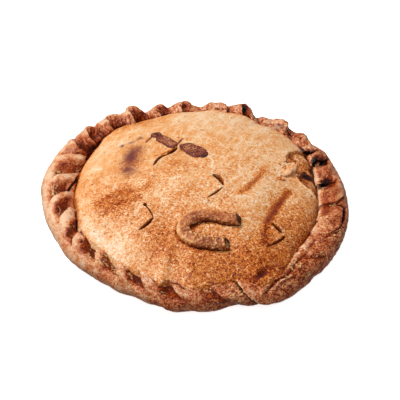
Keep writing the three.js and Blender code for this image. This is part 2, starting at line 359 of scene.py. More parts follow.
@dataclass(frozen=True)
class PieForm:
    """Plan, border section, rope folds and lid dome that the pieces share."""

    crown: float
    mean_radius: float = 141.2
    oval: Pair = (3.8, -45.0)
    trilobe: Pair = (1.9, 50.0)
    shift: Pair = (1.9, 1.1)
    rim_width: Swing = Swing(28.0, 3.0, 185.0)
    crest_height: Swing = Swing(23.5, 3.5, 130.0)
    axis_share: float = 0.46
    spacing_start: float = 2.5
    spacing_waves: tuple[tuple[int, float, float], ...] = (
        (1, 5.8, -110),
        (2, 3.25, 119),
        (3, 1.25, 146),
    )
    spacing_jitter: float = 1.4
    slant: Triple = (0.06, 0.09, 345.0)
    slant_inside: float = 0.5
    shoulder: Swing = Swing(23.0, 1.5, 120.0)
    shoulder_power: float = 24.0
    dome_power: float = 2.4
    hidden_slope: float = 1.6

    @property
    def ground_angle(self) -> float:
        """Section angle at which the border's underside meets the ground."""
        return -np.arcsin(self.axis_share / (1.0 - self.axis_share))

    def outline(self, theta: Array) -> Array:
        """Outer radius: a circle with a two-fold and a three-fold cosine stretch."""
        oval = self.oval[0] * np.cos(2.0 * (theta - np.radians(self.oval[1])))
        return self.mean_radius + oval + self.trilobe[0] * np.cos(3.0 * (theta - np.radians(self.trilobe[1])))

    def fold_draw(self, fold: Array) -> Array:
        """Repeatable number from -0.5 to 0.5 for each fold."""
        number = fold % FOLDS + 1.0
        return hash_unit(flat_points(number, np.ones_like(number)), 0) - 0.5

    def crest_angle(self, place: Array) -> Array:
        """Angle on the crest at a place counted in folds: even steps, three cosines and a jitter.

        Args:
            place: places counted in folds, such as 3.5 for halfway along fold 3.

        Returns:
            Angles in radians.
        """
        even = place / FOLDS * TURN
        waves = 0.0
        for order, size, at in self.spacing_waves:
            waves = waves + np.radians(size) * np.cos(order * even - np.radians(at))
        fold = np.floor(place)
        share = place - fold
        jitter = (1.0 - share) * self.fold_draw(fold) + share * self.fold_draw(fold + 1.0)
        return even + np.radians(self.spacing_start) + waves + np.radians(self.spacing_jitter) * jitter

    def crease_angle(self, theta: Array) -> Array:
        """Section angle at which the lid meets the border, read from the table of the lid's edge."""
        turn, angle = np.array(LID_EDGE).T
        return np.radians(np.interp(np.degrees(theta), turn, angle, period=360.0))

    def crease_inset(self, theta: Array) -> Array:
        """Millimetres by which the border reaches further in over the lid at the angles theta."""
        angles, insets = np.array(LID_INSETS).T
        return np.interp(np.degrees(theta), angles, insets, period=360.0)

    def crease_at(self, theta: Array) -> tuple[Array, Array]:
        """Crease between border and lid, without the folds.

        Args:
            theta: angles round the pie.

        Returns:
            Radius and height.
        """
        phi = self.crease_angle(theta)
        half = self.rim_width.around(theta) / 2.0
        crest = self.crest_height.around(theta)
        radius = self.outline(theta) - half + half * np.cos(phi) - self.crease_inset(theta)
        return radius, crest * (self.axis_share + (1.0 - self.axis_share) * np.sin(phi))

    def dome(self, x: Array, y: Array) -> Array:
        """Bare lid height: a dome over a shoulder that drops into the crease, then on under the border.

        Args:
            x: plan coordinate to the right.
            y: plan coordinate to the back.

        Returns:
            Heights over the ground.
        """
        theta = np.arctan2(y, x)
        radius, low = self.crease_at(theta)
        reach = np.hypot(x, y) / radius
        share = np.minimum(reach, 1.0)
        shoulder = self.shoulder.mean + share * (self.shoulder.around(theta) - self.shoulder.mean)
        edge = np.sqrt(1.0 - share ** self.shoulder_power)
        rise = (self.crown - shoulder) * (1.0 - share ** self.dome_power)
        hidden = np.maximum(reach - 1.0, 0.0) * radius * self.hidden_slope
        return low + (shoulder - low) * edge + rise - hidden


@dataclass(frozen=True)
class SlitArm:
    """One arm of a vent slit: start, middle and end in plan, widest gape, and lift of its lip."""

    start: Pair
    middle: Pair
    end: Pair
    gape: float
    lift: float

    def centre_line(self, share: Array) -> Array:
        """Points along the arm: the parabola through start, middle and end.

        Args:
            share: shares of the way from start to end.

        Returns:
            Plan points, one row for each share.
        """
        share = share[:, None]
        start, middle, end = (np.array(point) for point in (self.start, self.middle, self.end))
        back = (1.0 - share) * (1.0 - 2.0 * share)
        return back * start + 4.0 * share * (1.0 - share) * middle + share * (2.0 * share - 1.0) * end


# Four chevrons cut in the lid before baking: left, middle, right and rear.
VENT_SLITS = tuple(SlitArm(*row) for row in (
    ((-45.6, -41.6), (-44.3, -43.4), (-43.2, -45.4), 4.4, 0.5),
    ((-43.9, -44.8), (-40, -51), (-36.5, -59.2), 2.4, 0.5),
    ((-36.5, -59), (-41.6, -66.6), (-49.2, -72.4), 4.8, 0.6),
    ((24.4, -19.6), (20.5, -9.4), (14.6, -4.6), 7, 0.8),
    ((24.6, -21.4), (17.4, -29.2), (10, -36.5), 3.4, 0.5),
    ((73.8, -70.6), (69.9, -65.4), (65.2, -60.2), 5, 0.9),
    ((76.2, -72.6), (69.4, -81), (58.8, -89.2), 3.4, 0.5),
    ((-18, 38), (-21.5, 31), (-28.5, 24.5), 5.2, 0.9),
    ((-27, 25.4), (-34, 20.2), (-38.9, 9.3), 4, 0.9),
    ((-17, 37.2), (-26.6, 49), (-37.8, 64.1), 1.8, 0),
))
# Sags and swells of the lid in millimetres: right folds, left, flap at the tear, front pit.
LID_SWELLS = (
    Blot(66, -46, 36, 8, 62, -1.6),
    Blot(56, -20, 26, 12, 62, 1),
    Blot(-58, -52, 34, 20, 135, 1.2),
    Blot(88, 12, 8, 5, 70, 1.9),
    Blot(55, -116.6, 6, 2.6, 42, -4.5),
)
# Middle line of the bent dough strip, from the rear arm's end to the front arm's end.
STRIP_ROUTE = (
    (38.6, -65), (26.5, -63.9), (15, -60.8), (5.5, -60.8), (-2.5, -63.6), (-9.2, -69), (-11, -75),
    (-8, -82), (0.2, -87.3), (12, -90), (28.2, -90.4),
)


@dataclass(frozen=True)
class LidSkin:
    """The lid's top surface: the dome with swells, blister grain, slit lips and the torn edge."""

    form: PieForm
    swell: Noise = Noise(0.55, 34.0, 2, 11)
    pimples: Noise = Noise(0.32, 9.0, 3, 12)
    calm_from: float = 0.9
    calm_relief: float = 0.25
    lip_crest: float = 0.8
    lip_reach: float = 2.2
    tear_depth: float = 3.4
    tear_wall: float = 0.9
    tear_lip: float = 0.9
    tear_lip_width: float = 2.0
    tear_lip_back: float = 6.0
    tear_ragged: Noise = Noise(1.0, 4.0, 2, 71)
    tear_floor: Noise = Noise(0.9, 5.0, 3, 13)
    beyond_pie: float = 200.0
    tear_angles: tuple[float, ...] = (-9.0, -7.5, -5.5, -2.5, 1.0, 5.0, 10.0, 14.5, 20.0, 25.5, 28.0)
    tear_radii: tuple[float, ...] = (116.0, 109.0, 105.0, 97.5, 93.5, 91.5, 93.5, 88.0, 87.5, 97.5, 118.0)

    def tear(self, x: Array, y: Array) -> Array:
        """Depth share of the torn place at the right: 1 beyond a ragged edge given by angle and radius.

        Args:
            x: plan coordinate to the right.
            y: plan coordinate to the back.

        Returns:
            0 on the whole lid and 1 on the bared floor, with a steep wall between.
        """
        theta = np.degrees(np.arctan2(y, x))
        none = self.beyond_pie
        edge = np.interp(theta, self.tear_angles, self.tear_radii, left=none, right=none)
        return ease(np.hypot(x, y) + self.tear_ragged.at(flat_points(x, y)) - edge, 0.0, self.tear_wall)

    def slit_lips(self, x: Array, y: Array) -> Array:
        """Rise of the dough beside the slits: bells round each arm, less where two arms meet.

        Args:
            x: plan coordinate to the right.
            y: plan coordinate to the back.

        Returns:
            Millimetres upwards.
        """
        rise = np.zeros(np.shape(x))
        for arm in VENT_SLITS:
            away = path_distance(x, y, (arm.start, arm.middle, arm.end)) - arm.gape / 2.0
            rise = np.maximum(rise, arm.lift * bell(away, self.lip_crest, self.lip_reach))
        return rise

    def height(self, x: Array, y: Array) -> Array:
        """Height of the finished lid: the dome plus its swells, grain, lips and torn place.

        Args:
            x: plan coordinate to the right.
            y: plan coordinate to the back.

        Returns:
            Heights over the ground.
        """
        flat = flat_points(x, y)
        radius, _ = self.form.crease_at(np.arctan2(y, x))
        inner = 1.0 - ease(np.hypot(x, y) / radius, self.calm_from, 1.0)
        lively = self.calm_relief + (1.0 - self.calm_relief) * inner
        relief = sum(swell.over(x, y) for swell in LID_SWELLS) + self.swell.at(flat) + self.pimples.at(flat)
        torn = self.tear(x, y)
        beside = self.tear(x + self.tear_lip_width, y + self.tear_lip_width) * (1.0 - torn)
        skin = self.form.dome(x, y) + relief * lively + self.slit_lips(x, y)
        skin = skin + self.tear_lip * beside * (y < self.tear_lip_back)
        return skin - torn * (self.tear_depth - self.tear_floor.at(flat))


class ShaderGraph:
    """Node graph of one material, with a short method for each kind of node used here."""

    def __init__(self, name: str) -> None:
        """Start a material with a principled skin and the object's own coordinates.

        Args:
            name: name of the material.
        """
        self.material = bpy.data.materials.new(name)
        self.material.use_nodes = True
        self.tree = self.material.node_tree
        self.skin = self.tree.nodes["Principled BSDF"]
        self.place = self.node("ShaderNodeTexCoord").outputs["Object"]

    def feed(self, socket: Socket, value: object) -> None:
        """Link a socket into another, or set its plain value.

        Args:
            socket: the input to feed.
            value: an output socket or a plain value.
        """
        if isinstance(value, Socket):
            self.tree.links.new(value, socket)
        else:
            socket.default_value = value

    def coat(self, name: str, value: object) -> None:
        """Feed an input of the skin."""
        self.feed(self.skin.inputs[name], value)

    def node(self, kind: str, inputs: dict | None = None, **settings: object) -> bpy.types.Node:
        """Add a node.

        Args:
            kind: Blender's name of the node type.
            inputs: values or sockets for its inputs.
            settings: properties of the node.

        Returns:
            The new node.
        """
        made = self.tree.nodes.new(kind)
        for key, value in settings.items():
            setattr(made, key, value)
        for key, value in (inputs or {}).items():
            self.feed(made.inputs[key], value)
        return made

    def mask(self, mask: Mask) -> Socket:
        """Value of a vertex attribute."""
        return self.node("ShaderNodeAttribute", attribute_name=mask.value).outputs["Fac"]

    def noise(self, size: float, detail: float = 3.0, distortion: float = 0.0) -> Socket:
        """Fractal noise from 0 to 1 with features of a size in millimetres."""
        fed = {"Vector": self.place, "Scale": 1.0 / (size * MM), "Detail": detail, "Distortion": distortion}
        return self.node("ShaderNodeTexNoise", fed).outputs["Fac"]

    def drawn_out(self, size: float, ratio: float, bearing: float) -> Socket:
        """Noise drawn out along a bearing in plan.

        Args:
            size: size of its features in millimetres.
            ratio: how many times longer than wide they are.
            bearing: bearing in degrees.

        Returns:
            The noise as a socket.
        """
        values = {"Vector": self.place, "Rotation": (0.0, 0.0, -np.radians(bearing))}
        turned = self.node("ShaderNodeMapping", values)
        values = {"Vector": turned.outputs["Vector"], "Scale": (1.0 / ratio, 1.0, 1.0)}
        pulled = self.node("ShaderNodeMapping", values).outputs["Vector"]
        values = {"Vector": pulled, "Scale": 1.0 / (size * MM), "Detail": 2.0}
        return self.node("ShaderNodeTexNoise", values).outputs["Fac"]

    def cells(self, size: float, feature: str, source: object = None) -> Socket:
        """Distance field of scattered cells with a spacing in millimetres."""
        values = {"Vector": source or self.place, "Scale": 1.0 / (size * MM)}
        return self.node("ShaderNodeTexVoronoi", values, feature=feature).outputs["Distance"]

    def calc(self, operation: str, first: object, second: object, clamp: bool = False) -> Socket:
        """Arithmetic on two values."""
        made = self.node("ShaderNodeMath", {0: first, 1: second}, operation=operation, use_clamp=clamp)
        return made.outputs[0]

    def span(self, value: object, start: float, end: float, low: float, high: float) -> Socket:
        """Map the range start to end smoothly onto low to high, clamped."""
        values = {"Value": value, "From Min": start, "From Max": end, "To Min": low, "To Max": high}
        return self.node("ShaderNodeMapRange", values, interpolation_type="SMOOTHSTEP").outputs["Result"]

    def ramp(self, value: object, stops: Stops) -> Socket:
        """Colour ramp through screen colours.

        Args:
            value: place on the ramp.
            stops: place and screen colour of each stop.

        Returns:
            The colour as a socket.
        """
        made = self.node("ShaderNodeValToRGB", {"Fac": value})
        band = made.color_ramp.elements
        for index, (at, code) in enumerate(stops):
            stop = band[index] if index < 2 else band.new(at)
            stop.position = at
            stop.color = tone(code)
        return made.outputs["Color"]

    def blend(self, share: object, first: object, second: object) -> Socket:
        """Mix of two colours by a share."""
        return self.node("ShaderNodeMix", {0: share, 6: first, 7: second}, data_type="RGBA").outputs[2]

    def bump(self, height: object, depth: float, below: object = None) -> Socket:
        """Normal tilted by a height field.

        Args:
            height: the field, from 0 to 1.
            depth: its full range in millimetres.
            below: normal that it tilts, if not the mesh's own.

        Returns:
            The normal as a socket.
        """
        values = {"Height": height, "Strength": 1.0, "Distance": depth * MM}
        if below is not None:
            values["Normal"] = below
        return self.node("ShaderNodeBump", values).outputs["Normal"]


@dataclass(frozen=True)
class CrustFinish:
    """Baked dough: colours from pale to dark toast, fine mottling, pores, veins and burnt juice, with painted
    shade and light carried by the toast and char masks.
    """

    name: str
    toast_and_shade: Stops
    stain: str
    pale: str
    char: str
    mottle_size: float
    mottle_share: float
    cloud_share: float
    scratch_share: float
    pore_size: float
    gloss: float
    roughness: float
    pore_depth: float = 0.4
    streak_share: float = 0.0
    vein_share: float = 0.0
    vein_sizes: Pairs = ((24.0, 0.03), (11.0, 0.045))
    vein_warp: float = 0.012
    warp_scale: float = 60.0
    kept_veins: Pair = (0.46, 0.6)
    fresh_toast: Pair = (0.42, 0.58)
    old_veins: float = 0.1
    scratch_width: Pair = (0.015, 0.07)
    kept_scratches: Pair = (0.46, 0.58)
    fleck_span: Pair = (0.4, 0.62)
    coarse_toast: Pair = (0.3, 0.62)
    least_coarse: float = 0.6
    even_span: Pair = (0.3, 0.7)
    pore_span: Pair = (0.1, 0.34)
    worn_span: Pair = (0.45, 0.6)
    pore_tone: float = 0.16
    smear: Triple = (3.2, 6.0, 62.0)
    rough_spread: Pair = (-0.06, 0.08)
    char_shine: float = 0.12
    dull_toast: Pair = (0.45, 0.9)
    dull_gloss: float = 0.08
    fleck_depth: float = 0.55
    dust_depth: float = 0.16

    def veins(self, graph: ShaderGraph, size: float, wide: float) -> Socket:
        """Share of thin pale cracks: edges of bent cells, kept where a coarse noise is high.

        Args:
            graph: graph of the material.
            size: spacing of the cells in millimetres.
            wide: width of the cracks as a share of the spacing.

        Returns:
            The share as a socket.
        """
        values = {"Vector": graph.place, "Scale": self.warp_scale, "Detail": 3.0}
        warp = graph.node("ShaderNodeTexNoise", values).outputs["Color"]
        bent = graph.node("ShaderNodeMix", {0: self.vein_warp, 4: graph.place, 5: warp}, data_type="VECTOR")
        edge = graph.cells(size, "DISTANCE_TO_EDGE", bent.outputs[1])
        line = graph.span(edge, 0.2 * wide, wide, 1.0, 0.0)
        some = graph.span(graph.noise(size, 2.0), *self.kept_veins, 0.0, self.vein_share)
        fresh = graph.span(graph.mask(Mask.TOAST_AND_SHADE), *self.fresh_toast, 1.0, self.old_veins)
        return graph.calc("MULTIPLY", line, graph.calc("MULTIPLY", some, fresh))

    def scratches(self, graph: ShaderGraph) -> Socket:
        """Share of short pale scratches: contour lines of a noise, cut into scraps by a second one.

        Args:
            graph: graph of the material.

        Returns:
            The share as a socket.
        """
        level = graph.calc("SUBTRACT", graph.noise(self.mottle_size * 2.2, 1.0, 0.6), 0.5)
        line = graph.span(graph.calc("ABSOLUTE", level, 0.0), *self.scratch_width, 1.0, 0.0)
        scraps = graph.span(graph.noise(self.mottle_size * 1.7, 1.0), *self.kept_scratches, 0.0, 1.0)
        return graph.calc("MULTIPLY", line, scraps)

    def material(self) -> bpy.types.Material:
        """Build the finish: the toast mask plus mottling picks a colour, marks are laid over it.

        Returns:
            The material.
        """
        graph = ShaderGraph(self.name)
        toast_and_shade = graph.mask(Mask.TOAST_AND_SHADE)
        fine = graph.noise(self.mottle_size, 2.0, 1.0)
        cloud = graph.noise(self.mottle_size * 5.0, 3.0)
        speck = graph.span(graph.cells(self.pore_size, "F1"), *self.pore_span, 1.0, 0.0)
        worn = graph.noise(self.pore_size * 4.0, 2.0)
        pores = graph.calc("MULTIPLY", speck, graph.span(worn, *self.worn_span, 0.0, 1.0))
        fleck = graph.span(fine, *self.fleck_span, -self.mottle_share, self.mottle_share)
        coarse = graph.span(toast_and_shade, *self.coarse_toast, self.least_coarse, 1.0)
        coarse = graph.calc("SUBTRACT", coarse, graph.mask(Mask.SMOOTH), True)
        mottled = graph.calc("MULTIPLY_ADD", fleck, coarse)
        graph.feed(mottled.node.inputs[2], toast_and_shade)
        scraped = graph.calc("MULTIPLY", coarse, self.scratch_share)
        scraped = graph.calc("MULTIPLY", self.scratches(graph), scraped)
        mottled = graph.calc("SUBTRACT", mottled, scraped)
        clouded = graph.span(cloud, *self.even_span, -self.cloud_share, self.cloud_share)
        mottled = graph.calc("ADD", mottled, clouded)
        if self.streak_share > 0.0:
            smear = graph.drawn_out(*self.smear)
            streaked = graph.span(smear, *self.even_span, -self.streak_share, self.streak_share)
            mottled = graph.calc("ADD", mottled, streaked)
        mottled = graph.calc("ADD", mottled, graph.calc("MULTIPLY", pores, self.pore_tone))
        colour = graph.ramp(mottled, self.toast_and_shade)
        if self.vein_share > 0.0:
            for size, wide in self.vein_sizes:
                colour = graph.blend(self.veins(graph, size, wide), colour, tone(self.pale))
        for mask, code in ((Mask.STAIN, self.stain), (Mask.PALE, self.pale), (Mask.CHAR_AND_SHADE, self.char)):
            colour = graph.blend(graph.mask(mask), colour, tone(code))
        graph.coat("Base Color", colour)
        smoothest, roughest = (self.roughness + spread for spread in self.rough_spread)
        rough = graph.span(fine, *self.even_span, smoothest, roughest)
        wet = graph.calc("MULTIPLY", graph.mask(Mask.CHAR_AND_SHADE), self.char_shine)
        graph.coat("Roughness", graph.calc("SUBTRACT", rough, wet))
        shine = graph.span(toast_and_shade, *self.dull_toast, self.gloss, self.dull_gloss)
        graph.coat("Specular IOR Level", shine)
        normal = graph.bump(fine, self.fleck_depth)
        normal = graph.bump(graph.noise(self.mottle_size * 0.4, 2.0), self.dust_depth, normal)
        normal = graph.bump(graph.calc("SUBTRACT", 1.0, pores), self.pore_depth, normal)
        graph.coat("Normal", normal)
        return graph.material


@dataclass(frozen=True)
class JuiceFinish:
    """Baked-on juice: a dark wrinkled skin with a dull gloss."""

    name: str = "baked_juice"
    tones: Stops = ((0.2, "34120f"), (0.4, "702a1c"), (0.52, "9e5336"), (0.66, "cc9762"))
    wrinkle_size: float = 2.6
    wrinkle_depth: float = 0.9
    wrinkle_span: Pair = (0.3, 0.7)
    edge_share: float = 0.22
    gloss: float = 0.28
    roughness: float = 0.42
    dull_roughness: float = 0.67

    def material(self) -> bpy.types.Material:
        """Build the finish: distorted noise gives the wrinkles, their colour and their gloss.

        Returns:
            The material.
        """
        graph = ShaderGraph(self.name)
        wrinkle = graph.noise(self.wrinkle_size, 4.0, 1.4)
        darker = graph.calc("MULTIPLY", graph.mask(Mask.TOAST_AND_SHADE), self.edge_share)
        shade = graph.calc("SUBTRACT", wrinkle, darker)
        graph.coat("Base Color", graph.ramp(shade, self.tones))
        rough = graph.span(wrinkle, *self.wrinkle_span, self.roughness, self.dull_roughness)
        graph.coat("Roughness", rough)
        graph.coat("Specular IOR Level", self.gloss)
        graph.coat("Normal", graph.bump(wrinkle, self.wrinkle_depth))
        return graph.material


LID_FINISH = CrustFinish(
    name="lid_crust",
    toast_and_shade=(
        (0.0, "f8e5d2"),
        (0.22, "f1c79b"),
        (0.42, "e89c52"),
        (0.6, "d07226"),
        (0.8, "a54614"),
        (1.0, "64200e"),
    ),
    stain="70302a",
    pale="f9dfb8",
    char="1a0b08",
    mottle_size=1.6,
    mottle_share=0.185,
    cloud_share=0.05,
    streak_share=0.05,
    scratch_share=0.3,
    pore_size=4.2,
    pore_depth=0.5,
    vein_share=0.72,
    gloss=0.4,
    roughness=0.5,
)
FLAKE_FINISH = replace(LID_FINISH, name="flake_crust", vein_share=0.0)
BORDER_FINISH = CrustFinish(
    name="border_crust",
    toast_and_shade=((0.0, "eec29c"), (0.2, "da8f5d"), (0.45, "b04e19"), (0.72, "802b0a"), (1.0, "4e1a08")),
    stain="4a1710",
    pale="f2c388",
    char="140a0a",
    mottle_size=1.7,
    mottle_share=0.32,
    cloud_share=0.12,
    scratch_share=0.05,
    pore_size=3.6,
    gloss=0.3,
    roughness=0.34,
)
STRIP_FINISH = CrustFinish(
    name="strip_crust",
    toast_and_shade=((0.0, "ecb475"), (0.3, "ca763a"), (0.55, "9c491d"), (0.8, "672a0f"), (1.0, "3a1608")),
    stain="5a2015",
    pale="eeb877",
    char="1a0d0b",
    mottle_size=1.9,
    mottle_share=0.16,
    cloud_share=0.1,
    scratch_share=0.1,
    pore_size=3.2,
    gloss=0.42,
    roughness=0.46,
)


@dataclass
class Piece:
    """What every piece of the pie shares: putting arrays into a mesh and dressing it."""

    form: PieForm

    def mesh_object(self, name: str, points: Array, faces: list[list[int]]) -> bpy.types.Object:
        """Make an object from plan points in millimetres; it sits at the origin, in metres.

        Args:
            name: name of the object.
            points: vertices in the plan frame.
            faces: vertex numbers of each face, counter-clockwise seen from outside.

        Returns:
            The object, linked to the scene, with smooth faces.
        """
        mesh = bpy.data.meshes.new(name)
        placed = (points + np.array([*self.form.shift, 0.0])) * MM
        mesh.from_pydata(placed.tolist(), [], faces)
        mesh.polygons.foreach_set("use_smooth", np.ones(len(mesh.polygons), dtype=bool))
        mesh.update()
        piece = bpy.data.objects.new(name, mesh)
        bpy.context.collection.objects.link(piece)
        return piece

    def plan_points(self, piece: bpy.types.Object) -> Array:
        """Vertices of a made piece.

        Args:
            piece: the object.

        Returns:
            Points in the plan frame, in millimetres.
        """
        flat = np.empty(len(piece.data.vertices) * 3)
        piece.data.vertices.foreach_get("co", flat)
        return flat.reshape(-1, 3) / MM - np.array([*self.form.shift, 0.0])

    def paint(self, piece: bpy.types.Object, masks: dict[Mask, Array]) -> None:
        """Store the masks as vertex attributes, clamped to 0 and 1.

        Args:
            piece: the object.
            masks: values for each vertex; a mask left out is 0.
        """
        for mask in Mask:
            layer = piece.data.attributes.new(mask.value, "FLOAT", "POINT")
            values = masks.get(mask, np.zeros(len(piece.data.vertices)))
            layer.data.foreach_set("value", np.clip(values, 0.0, 1.0).astype(np.float32).ravel())

    def dress(
        self,
        piece: bpy.types.Object,
        finish: CrustFinish | JuiceFinish,
        slot: Slot,
        node: str | None = None,
    ) -> None:
        """Give a piece its finish, hang it under the root body, and hide the solid that it stands for.

        Args:
            piece: the object.
            finish: what its surface is made of.
            slot: not used.
            node: the solid that it stands for, if any.
        """
        piece.data.materials.append(finish.material())
        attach(piece, "root")
        if node is not None:
            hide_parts(node)
        LOG.info("%s: %d faces", piece.name, len(piece.data.polygons))


@dataclass
class Lid(Piece):
    """Domed top crust with its vent slits, and the flat base that reaches under the border."""

    skin: LidSkin
    cells: int = 270
    overreach: float = 1.035
    base_inset: float = 20.0
    base_rings: int = 12
    base_relief: float = 0.35
    underside: float = 2.0
    slit_depth: float = 4.5
    slit_stations: int = 26
    crowding: float = 0.06
    wall_inset: float = 1.5
    wall_level: float = 0.9
    dimples: Noise = Noise(0.5, 14.0, 2, 31)
    blade_height: float = 9.0
    slit_tip: float = 0.02
    slit_bluntness: float = 0.45
    slit_foot: float = 0.55
    slit_wave: Noise = Noise(0.25, 3.0, 2, 41)
    bake: float = 0.405
    bake_slopes: Triple = (-0.0002, -0.0014, -0.0002)
    clouds: tuple[Noise, ...] = (Noise(0.08, 26.0, 3, 51), Noise(0.05, 7.0, 3, 52))
    stain_patches: Noise = Noise(0.6, 6.0, 3, 53)
    torn_patches: Noise = Noise(0.4, 5.0, 3, 55)
    base_bake: float = 0.5
    base_patches: Noise = Noise(0.12, 20.0, 3, 54)
    strip_half: float = 6.4
    strip_shade: float = 0.34
    edge_shade: Pair = (0.2, -0.04)
    edge_from: float = 0.97
    slit_shade: float = 0.6
    slit_span: Pair = (0.25, 1.6)
    slit_shade_span: Pair = (1.0, 2.6)
    torn_bake: float = 0.22
    torn_rim: float = 1.5
    pool_span: Pair = (0.1, 0.6)
    pool_char: Pair = (0.35, 0.75)
    darkest: float = 0.95
    less_shaded_slit: Blot = Blot(19.5, -11.0, 8.0, 8.0, 0.0, 0.7)
    # Patches of more or less toast; the first two, pale at the left front, are painted sheen, and the last,
    # inside the strip's bend, is painted shadow.
    bake_and_light_blots: tuple[Blot, ...] = tuple(Blot(*row) for row in (
        (-94, -60, 38, 11, 124, -0.26), (-62, -94, 24, 12, 145, -0.24), (62, -98, 46, 26, 25, 0.17),
        (96, -68, 22, 26, 0, 0.12), (30, -108, 60, 20, 0, 0.14), (95, -50, 40, 16, 60, 0.1),
        (56, -20, 26, 9, 62, -0.12), (-70, -37, 26, 13, 22, 0.18), (-45, 96, 22, 14, 20, 0.16),
        (-112, 34, 12, 34, 0, 0.1), (-72, 88, 20, 12, 40, 0.18), (-30, -82, 16, 14, 0, 0.16),
        (-34, -116, 22, 7, 0, -0.2), (-60, 21, 20, 9.5, 80, 0.26), (-84, 52, 34, 24, 60, -0.1),
        (10, 95, 70, 22, 0, -0.08), (40, 20, 26, 18, 60, -0.05), (-74, -51, 15, 8, 15, 0.14),
        (-3, -69.5, 7, 5, 60, 0.28),
    ))
    toast_streaks: tuple[Streak, ...] = tuple(Streak(*row) for row in (
        (((62.8, 7.7), (57, -4.2), (51.4, -13.1), (46, -20.8), (40.6, -27.4)), 3.4, 0.36),
        (((82.2, -18), (77, -28.4), (71, -39.7), (65.1, -50.4), (61.2, -59.2), (58, -84)), 3.8, 0.46),
        (((-87.6, -31.6), (-75, -27.2), (-63.8, -21.9)), 4.6, 0.2),
        (((-60.6, -27), (-50.1, -22.8), (-41.7, -16.5)), 3.6, 0.16),
        (((-87, -36.9), (-73.3, -39.8), (-60, -36.9), (-50.6, -34.2)), 3.8, 0.16),
        (((-20, 12), (0, 4)), 7, 0.1),
        (((60, -111.5), (56, -115.7), (52, -119), (49, -121.5)), 2.8, 0.45),
        (((-37.9, 25.1), (-30.9, 26.8), (-26, 30.1), (-21.1, 34.3)), 1.6, 0.36),
        (((93.8, 10.5), (98, 4.6), (101.4, 1.5), (104.9, -1.4), (108.2, -5.4)), 3.4, 0.3),
    ))
    stain_blots: tuple[Blot, ...] = tuple(Blot(*row) for row in (
        (-59.6, 27, 16, 7.6, 80, 1.1), (-56, 38, 7, 6, 60, 0.4), (-61.4, 6, 9, 7.4, 105, 0.75),
        (-53.8, 57, 3, 2, 50, 1.4), (-62, 51.2, 2.6, 1.8, 35, 1), (-58.2, 52.6, 2, 1.4, 20, 0.4),
        (-70.1, 47.3, 2.4, 1.7, 60, 1.3), (-58.9, -23, 2.2, 0.9, 50, 0.8),
        (-37.2, -5.7, 1.5, 1, 20, 0.9), (-86.3, 41.6, 1.3, 0.9, 70, 0.7),
        (10.5, -41.5, 1.8, 0.9, 70, 0.7), (-21.4, -104.7, 1.5, 1.1, 40, 1),
        (-23.3, -77.9, 2.6, 1, 55, 0.7), (-77.5, -70.7, 1.3, 0.8, 30, 0.7),
        (-77.1, -61.8, 1.9, 0.7, 45, 0.7), (-98.2, -50.6, 1.5, 0.9, 0, 0.7),
    ))
    stain_streaks: tuple[Streak, ...] = tuple(Streak(*row) for row in (
        (((57, -114.8), (54, -117.4), (50, -120.6)), 1.5, 0.9),
        (((82.2, -18), (77, -28.4), (71, -39.7), (65.1, -50.4), (61.2, -59.2)), 2.6, 0.5),
        (((57, -4.2), (51.4, -13.1), (46, -20.8)), 2.6, 0.4),
    ))
    cracks: tuple[Streak, ...] = tuple(Streak(*row) for row in (
        (((10.5, 23.6), (12.6, 21.6), (15.8, 16.2), (13.6, 6)), 0.9, 1),
        (((13.6, 23.4), (14.8, 25.8), (17.1, 27.5)), 0.7, 0.8),
        (((-39.8, 9.6), (-43.1, 5.9), (-47.5, 3.9), (-53.5, 5.4), (-59.8, 12)), 0.6, 0.35),
    ))
    tear_pools: tuple[Blot, ...] = tuple(Blot(*row) for row in (
        (103.5, 13.5, 6, 4, 20, 1.3), (108, 27, 5, 2.4, 80, 1), (101, 19.5, 2.2, 1.2, 30, 0.9),
        (86.6, 27, 3.6, 1.6, 60, 0.7), (92.4, 32.5, 3.2, 1.8, 30, 0.5),
    ))

    def disc(self) -> tuple[Array, Array]:
        """Square grid folded into a disc: squares become rings, corners spread round each ring.

        Returns:
            Radius from 0 to 1 and angle of the grid's vertices, row by row.
        """
        side = np.linspace(-1.0, 1.0, self.cells + 1)
        b, a = (part.ravel() for part in np.meshgrid(side, side, indexing="ij"))
        wide = np.abs(a) >= np.abs(b)
        safe_a = np.where(a == 0.0, 1.0, a)
        safe_b = np.where(b == 0.0, 1.0, b)
        radius = np.where(wide, a, b)
        angle = np.where(wide, np.pi / 4.0 * b / safe_a, np.pi / 2.0 - np.pi / 4.0 * a / safe_b)
        return np.abs(radius), angle + np.where(radius < 0.0, np.pi, 0.0)

    def rim_loop(self) -> Array:
        """Edge of the lid's grid.

        Returns:
            Vertex numbers, counter-clockwise from the first corner.
        """
        n = self.cells
        step = np.arange(n)
        front = step
        right = step * (n + 1) + n
        back = n * (n + 1) + n - step
        left = (n - step) * (n + 1)
        return np.concatenate([front, right, back, left])

